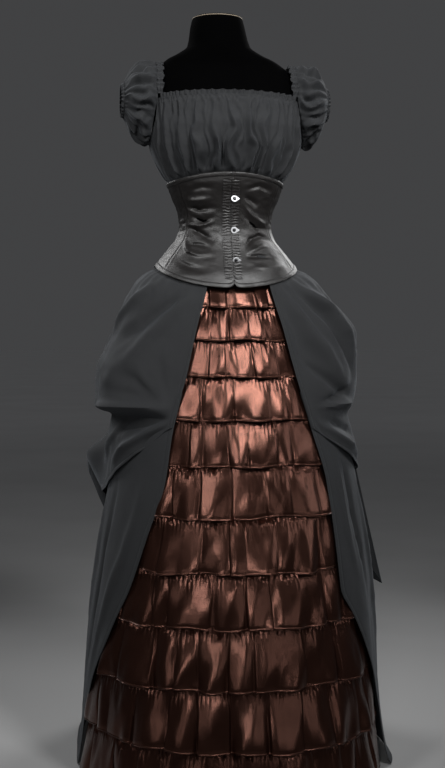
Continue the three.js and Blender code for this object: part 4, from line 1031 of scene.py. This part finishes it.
def build_tier(index):
    hem, shown = TIERS[index]
    hem = float(hem)
    heading = FIRST_HEADING if index == 0 else TIERS[index - 1][0] + HEADING_COVER
    height = heading - hem
    left, right = float(column(OPENING, "left", hem)), float(column(OPENING, "right", hem))
    start, end = left - RUFFLE_BEYOND, right + RUFFLE_BEYOND
    radius = float(column(SKIRT, "wide", hem))
    folds = tier_folds(shown, start, end, radius, index)
    base = np.linspace(start, end, int(math.radians(end - start) * radius / 2.8))
    extra = [fold + np.degrees(np.linspace(-5, 5, 11) / radius) for fold in folds]
    angle = np.unique(np.clip(np.concatenate([base, *extra]), start, end))
    gaps = np.diff(angle, prepend=angle[0] - 1)
    angle = angle[gaps > math.degrees(0.7 / radius)][None, :]
    share = spaced(height, 7, (0, 3, 6, 9, 12, 16), ROLL_STEPS)[:, None]
    below = share * height
    from_hem = height - below
    relief = ruffle_relief(index, folds, angle, share, below, radius, height)
    free = ease(np.minimum(angle - left, right - angle), -3, 5)
    relief *= np.where(relief > 0, 0.3 + 0.7 * free, 0.55 + 0.45 * free)
    flare = mix(RUFFLE_HEADING, RUFFLE_HEM, ease(share, 0, 1) * 0.55 + 0.45 * share)
    flare = flare + 4.5 * ease(index, 3, 8) * share * free
    least = mix(1.9, 3.2, share)
    outset = least + 1.6 * np.logaddexp(0, (flare + relief - least) / 1.6)
    outset += 0.9 * hump(from_hem - 1.1, 0.9) - 0.5 * hump(from_hem - 3.0, 0.8)
    dip = 1.6 * np.sin(0.21 * angle + index) + 2.6 * along_noise(angle / 13 + index, 130 + index)
    z = heading - below + dip * share * (0.5 if index == len(TIERS) - 1 else 1)
    points = on_section(SKIRT, angle, np.maximum(z, 2.5), outset)
    node = f"ruffle_{index + 1:02d}"
    cloth(node, points, "copper", thick=0.9)
    row = int(np.abs(from_hem[:, 0] - 3.2).argmin())
    stitches(node + "_stitches", points[row], grid_normals(points)[row], COPPER_THREAD, "copper_satin", 4.2)


def build_underskirt():
    angle = np.arange(0, 360, 4.0)[None, :]
    z = np.linspace(WAIST_SEAM, FOUNDATION_HEM, 32)[:, None]
    points = on_section(SKIRT, angle, z + 0 * angle, 0.5 * crumple(angle / 20, z / 60, 140))
    cloth("underskirt_base", points, "copper", loop=True)
    for index in range(len(TIERS)):
        build_tier(index)


# Overskirt. Angles run on past 180 in the pieces behind.
SEAM_GAP = 0.06


def near_edge(angle, z):
    edge = np.abs(opening_edge(angle, z))
    return 1 - ease(np.abs(angle), edge, np.maximum(78, edge + 20))


def round_about(rows, at, angle):
    """Blend of the columns left, right and behind at an angle"""
    side = np.where(angle < 0, column(rows, "left", at), column(rows, "right", at))
    behind = np.where(angle < 0, column(rows, "backLeft", at), column(rows, "backRight", at))
    side = mix(side, behind, ease(np.abs(angle), 92, DRAPE_SEAM))
    return mix(side, column(rows, "back", at), ease(np.abs(angle), DRAPE_SEAM, 165))


def drape_fold(angle):
    return sum(fold["high"] * hump(angle - fold["angle"], fold["wide"]) for fold in DRAPE_FOLDS)


def under_corset(angle, z):
    """Outset of cloth that is held under the corset"""
    room = {name: column(CORSET, name, z) - column(SKIRT, name, z) for name in ("wide", "front", "back")}
    facing = np.where(np.cos(np.radians(angle)) > 0, room["front"], room["back"])
    return np.minimum(UPPER_EDGE_OUT, np.minimum(room["wide"], facing) - CAD_CLOTH - UNDER_CORSET)


def lip(angle, height):
    """Extra outset of the hitched fold from the left front edge to the fuller side"""
    edge = np.abs(opening_edge(-1, SHELF_OUT * 1.0))
    rise = ease(-angle, edge + 1, edge + 8) * (1 - ease(-angle, LIP_END, LIP_END + 22))
    return LIP.get(height, 0) * np.where(angle > 0, 0, rise)


def flap(angle, z):
    """The back drape's right corner, which stands out more and more towards the hem"""
    reach = FLAP_REACH * hump(angle - FLAP_ANGLE, FLAP_WIDE)
    return np.where(angle < DRAPE_SEAM, 0, reach * ease(z, FLAP_TOP, FLAP_TIP))


def upper_rows(angle_at):
    """Coarse rows of the upper layer from the waist seam over the hitched fold to the hem"""
    side_bottom = float(corset_bottom(np.array(90.0)))
    rows = []

    def add(height_at, outset_at):
        """The height depends on the angle, and near the front edge the angle on the height"""
        z = float(SHELF_IN)
        for _ in range(2):
            z = height_at(wrapped(angle_at(z)))
        angle = angle_at(z)
        rows.append((angle, z + 0 * angle, outset_at(wrapped(angle), z) + 0 * angle))

    def full(angle, z, table_rows, at, share):
        edge = under_corset(angle, np.maximum(z, corset_bottom(angle)))
        return mix(round_about(table_rows, at, angle), edge, near_edge(angle, z)) + drape_fold(angle) * share

    add(lambda angle: WAIST_SEAM + 0 * angle, lambda angle, z: WAIST_OUT)
    add(lambda angle: (WAIST_SEAM + corset_bottom(angle)) / 2, under_corset)
    add(lambda angle: corset_bottom(angle) + 4, under_corset)
    add(lambda angle: corset_bottom(angle) - 2.5, under_corset)
    for row in UPPER:
        at = float(row["z"])
        down = (side_bottom - at) / (side_bottom - SHELF_OUT)
        add(lambda angle: mix(corset_bottom(angle), SHELF_OUT, down),
            lambda angle, z: full(angle, z, UPPER, at, ease(at, 1080, 900)) + lip(angle, at))
    for row in SWAG:
        at = float(row["share"])
        add(lambda angle: mix(SHELF_IN, column(UPPER_HEM, "z", angle), at),
            lambda angle, z: full(angle, z, SWAG, at, 0.3 + 0.5 * at) + flap(angle, z))
    return rows


def lower_rows(angle_at, behind):
    rows = []
    for row in reversed(LOWER):
        angle = angle_at(float(row["z"]))
        z = np.full(angle.shape, float(row["z"]))
        signed = wrapped(angle)
        side = np.where(signed < 0, row["left"], row["right"])
        outset = mix(side, row["back"], ease(np.abs(signed), 92, 140))
        if not behind:
            outset = mix(outset, LOWER_EDGE_OUT, near_edge(signed, z))
        spread = column(TRAIN, "reach", signed) * row["floor"]
        rows.append((angle, z, outset + spread + drape_fold(signed) * 0.9 * ease(row["z"], 640, 300)))
    return rows


def drape_relief(angle, z, along):
    """Creases of the upper layer with soft pulls down from the corset"""
    gathers = pleats(angle, 180, 26, 2.4 * noise(angle / 13, z / 60, 151))
    relief = 2.6 * crease_relief(DRAPE_CREASES, angle, z, 250) + 2.4 * gathers * fade(along - 95, 45)
    relief += 5.0 * crumple(angle / 13, z / 60, 152) + 0.5 * crumple(angle / 4, z / 17, 153)
    return relief * ease(along, 70, 150)


def lower_relief(angle, z, creases_high):
    relief = creases_high * crease_relief(LOWER_CREASES, angle, z, 330)
    return relief + 2.6 * crumple(angle / 12, z / 110, 161) + 0.5 * crumple(angle / 3.5, z / 20, 162)


def refine(coarse, step):
    """Fine rows down the cloth, closer at the hem, from coarse ones of angle, height and outset"""
    coarse = np.array(coarse)
    points = on_section(SKIRT, coarse[:, 0], coarse[:, 1], coarse[:, 2])
    places = np.concatenate([[0], np.cumsum(sizes(np.diff(points, axis=0)).mean(axis=1))])
    along = spaced(places[-1], step, (0,), HEM_STEPS) * places[-1]
    return *np.moveaxis(curve_through(places, coarse, along), 1, 0), along[:, None]


def breadth(node, edges, wide, steps, free=None):
    """One piece of the overskirt between two edges, each an angle or a column of the front opening.
    Steps are the mesh's across and down the cloth, and free is the end that is a front edge."""
    upper = "upper" in node
    behind = free is None
    near = [HEM_STEPS if free == end else (0,) for end in ("start", "end")]
    places = spaced(wide, steps[0], *near)

    def angle_at(z):
        from_at, to_at = (column(OPENING, edge, z) if isinstance(edge, str) else edge for edge in edges)
        return mix(from_at, to_at, places)

    rows = upper_rows(angle_at) if upper else lower_rows(angle_at, behind)
    angle, z, outset, along = refine(rows, steps[1])
    signed = wrapped(angle)
    from_hem = along[-1] - along
    seam, hold = 1, 1
    if behind:
        seam = ease(np.minimum(angle - DRAPE_SEAM, 360 - DRAPE_SEAM - angle), 0, 5)
        hold = 0.35 + 0.65 * seam
    else:
        hold = 1 - (0.8 if upper else 0.85) * near_edge(signed, z) ** 3
    hem = hem_relief(from_hem)
    if not behind:
        side = places * wide if free == "start" else (1 - places) * wide
        hem = hem + hem_relief(side)[None, :] * (ease(along, 90, 130) if upper else 1)
    if upper:
        points = on_section(SKIRT, angle, z, outset + drape_relief(signed, z, along) * hold + hem)
        cloth(node, points, "cotton")
    else:
        low = ease(z, 90, 20)
        relief = lower_relief(signed, z, 1.6 if behind else 2.0) * hold
        points = on_section(SKIRT, angle, z, outset + (relief + hem) * (1 - 0.7 * low))
        swell = column(TRAIN, "reach", signed) / 215
        lift = low * swell * (5 + 6 * crumple(signed / 11, outset / 60, 163)) * ease(from_hem, 0, 25) * seam
        points[..., 2] = np.maximum(z + lift, 3.0)
        cloth(node, points, "cotton")
    normals = grid_normals(points)
    row = int(np.abs(from_hem[:, 0] - STITCH_FROM_EDGE).argmin())
    stitches(node + "_hem_stitches", points[row], normals[row], BLACK_THREAD, "cotton", 3.6)
    if free:
        n = int(np.abs(side - STITCH_FROM_EDGE).argmin())
        shown = along[:, 0] > (60 if upper else -1)
        stitches(f"{node}_{free}_stitches", points[shown, n], normals[shown, n], BLACK_THREAD, "cotton", 3.6)


def build_overskirt():
    edge = DRAPE_SEAM - SEAM_GAP
    around = (DRAPE_SEAM + SEAM_GAP, 360 - DRAPE_SEAM - SEAM_GAP)
    breadth("overskirt_upper_l", (-edge, "left"), 330, (5.5, 5.5), "end")
    breadth("overskirt_upper_r", ("right", edge), 330, (5.5, 5.5), "start")
    breadth("overskirt_upper_back", around, 640, (6.4, 7.5))
    breadth("overskirt_lower_l", (-edge, "left"), 280, (6, 7.5), "end")
    breadth("overskirt_lower_r", ("right", edge), 280, (6, 7.5), "start")
    breadth("overskirt_train", around, 900, (900 / 110, 10))


# Floor, light and camera. The floor's faint glow makes it as bright as the sky at the horizon.
FLOOR_REACH = 60000
FLOOR_GLOW = 0.0072
SKY = (0.86, 0.87, 0.9, 1)
SKY_STRENGTH = 0.062
LAMPS = table(
    "name x y z aim_z size size_y energy spread",
    ("key", 620, -1850, 2600, 1330, 0.4, 0.8, 7.3, 62),
    ("fill", -1500, -1800, 2450, 1300, 0.35, 0.9, 4.4, 62),
    ("low", -600, -2900, 1500, 560, 0.25, 0.5, 1.05, 50),
    ("low_left", -1600, -2300, 1000, 380, 0.25, 0.8, 0.22, 50),
    ("low_right", 1500, -2200, 1000, 380, 0.25, 0.8, 0.26, 50),
    ("right", 2400, -900, 1900, 1150, 0.4, 1.2, 0.9, 44),
    ("back_left", -1900, 1900, 2600, 900, 1.0, 1.6, 7, 70),
    ("back_right", 2100, 2000, 2400, 800, 1.0, 1.6, 8, 70),
)


def build_studio():
    """Plain floor, painted darker near the dress as shade, under soft lamps and a dim even sky"""
    s = Shader("studio_floor")
    spread = s.node("Mapping", {"Vector": s.place, "Scale": (0.09, 0.09, 0.09)})["Vector"]
    # Painted shade: a wide pool round the dress makes the floor darker there and paler far away
    painted_shade_pool = s.node("TexGradient", {"Vector": spread}, gradient_type="SPHERICAL")["Fac"]
    near = s.math("ADD", painted_shade_pool, s.math("MULTIPLY", s.grain(1.2, 3.0), 0.25))
    material = s.finish(s.blend(near, (0.96, 0.96, 0.96, 1), (0.36, 0.36, 0.36)), 0.8,
                        Emission_Color=SKY, Emission_Strength=FLOOR_GLOW)
    corners = [(x * FLOOR_REACH, y * FLOOR_REACH, 0) for x, y in ((-1, -1), (1, -1), (1, 1), (-1, 1))]
    mesh_object("floor", corners, [(0, 1, 2, 3)], material)
    world = bpy.data.worlds.new("studio")
    bpy.context.scene.world = world
    world.use_nodes = True
    background = world.node_tree.nodes["Background"]
    background.inputs["Color"].default_value = SKY
    background.inputs["Strength"].default_value = SKY_STRENGTH
    for lamp in LAMPS:
        light = bpy.data.lights.new(lamp["name"], "AREA")
        light.shape = "RECTANGLE"
        for setting in ("size", "size_y", "energy"):
            setattr(light, setting, lamp[setting])
        light.spread = math.radians(lamp["spread"])
        holder = placed(lamp["name"], light)
        holder.location = Vector((lamp["x"], lamp["y"], lamp["z"])) * MM
        away = holder.location - Vector((0, 0, lamp["aim_z"])) * MM
        holder.rotation_euler = away.to_track_quat("Z", "Y").to_euler()


def build_camera():
    turn = math.radians(CAMERA_TURN)
    right = Vector((math.cos(turn), math.sin(turn), 0))
    ahead = Vector((-math.sin(turn), math.cos(turn), 0))
    data = bpy.data.cameras.new("camera")
    data.sensor_width = 36
    data.lens = LENS
    camera = placed("camera", data)
    camera.location = (Vector((0, 0, CAMERA_HIGH)) - ahead * CAMERA_AWAY) * MM
    aim = (right * AIM_ASIDE + Vector((0, 0, AIM_HIGH))) * MM
    camera.rotation_euler = (aim - camera.location).to_track_quat("-Z", "Y").to_euler()
    bpy.context.scene.camera = camera


build_form()
build_corset()
build_bodice()
build_sleeve(-1, "l")
build_sleeve(1, "r")
build_underskirt()
build_overskirt()
for stand_node in ("stand_pole", "stand_base"):
    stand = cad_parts[stand_node]
    stand.data.materials.clear()
    stand.data.materials.append(BLACK_PAINT)
build_studio()
build_camera()
bpy.context.scene.view_settings.view_transform = "Standard"
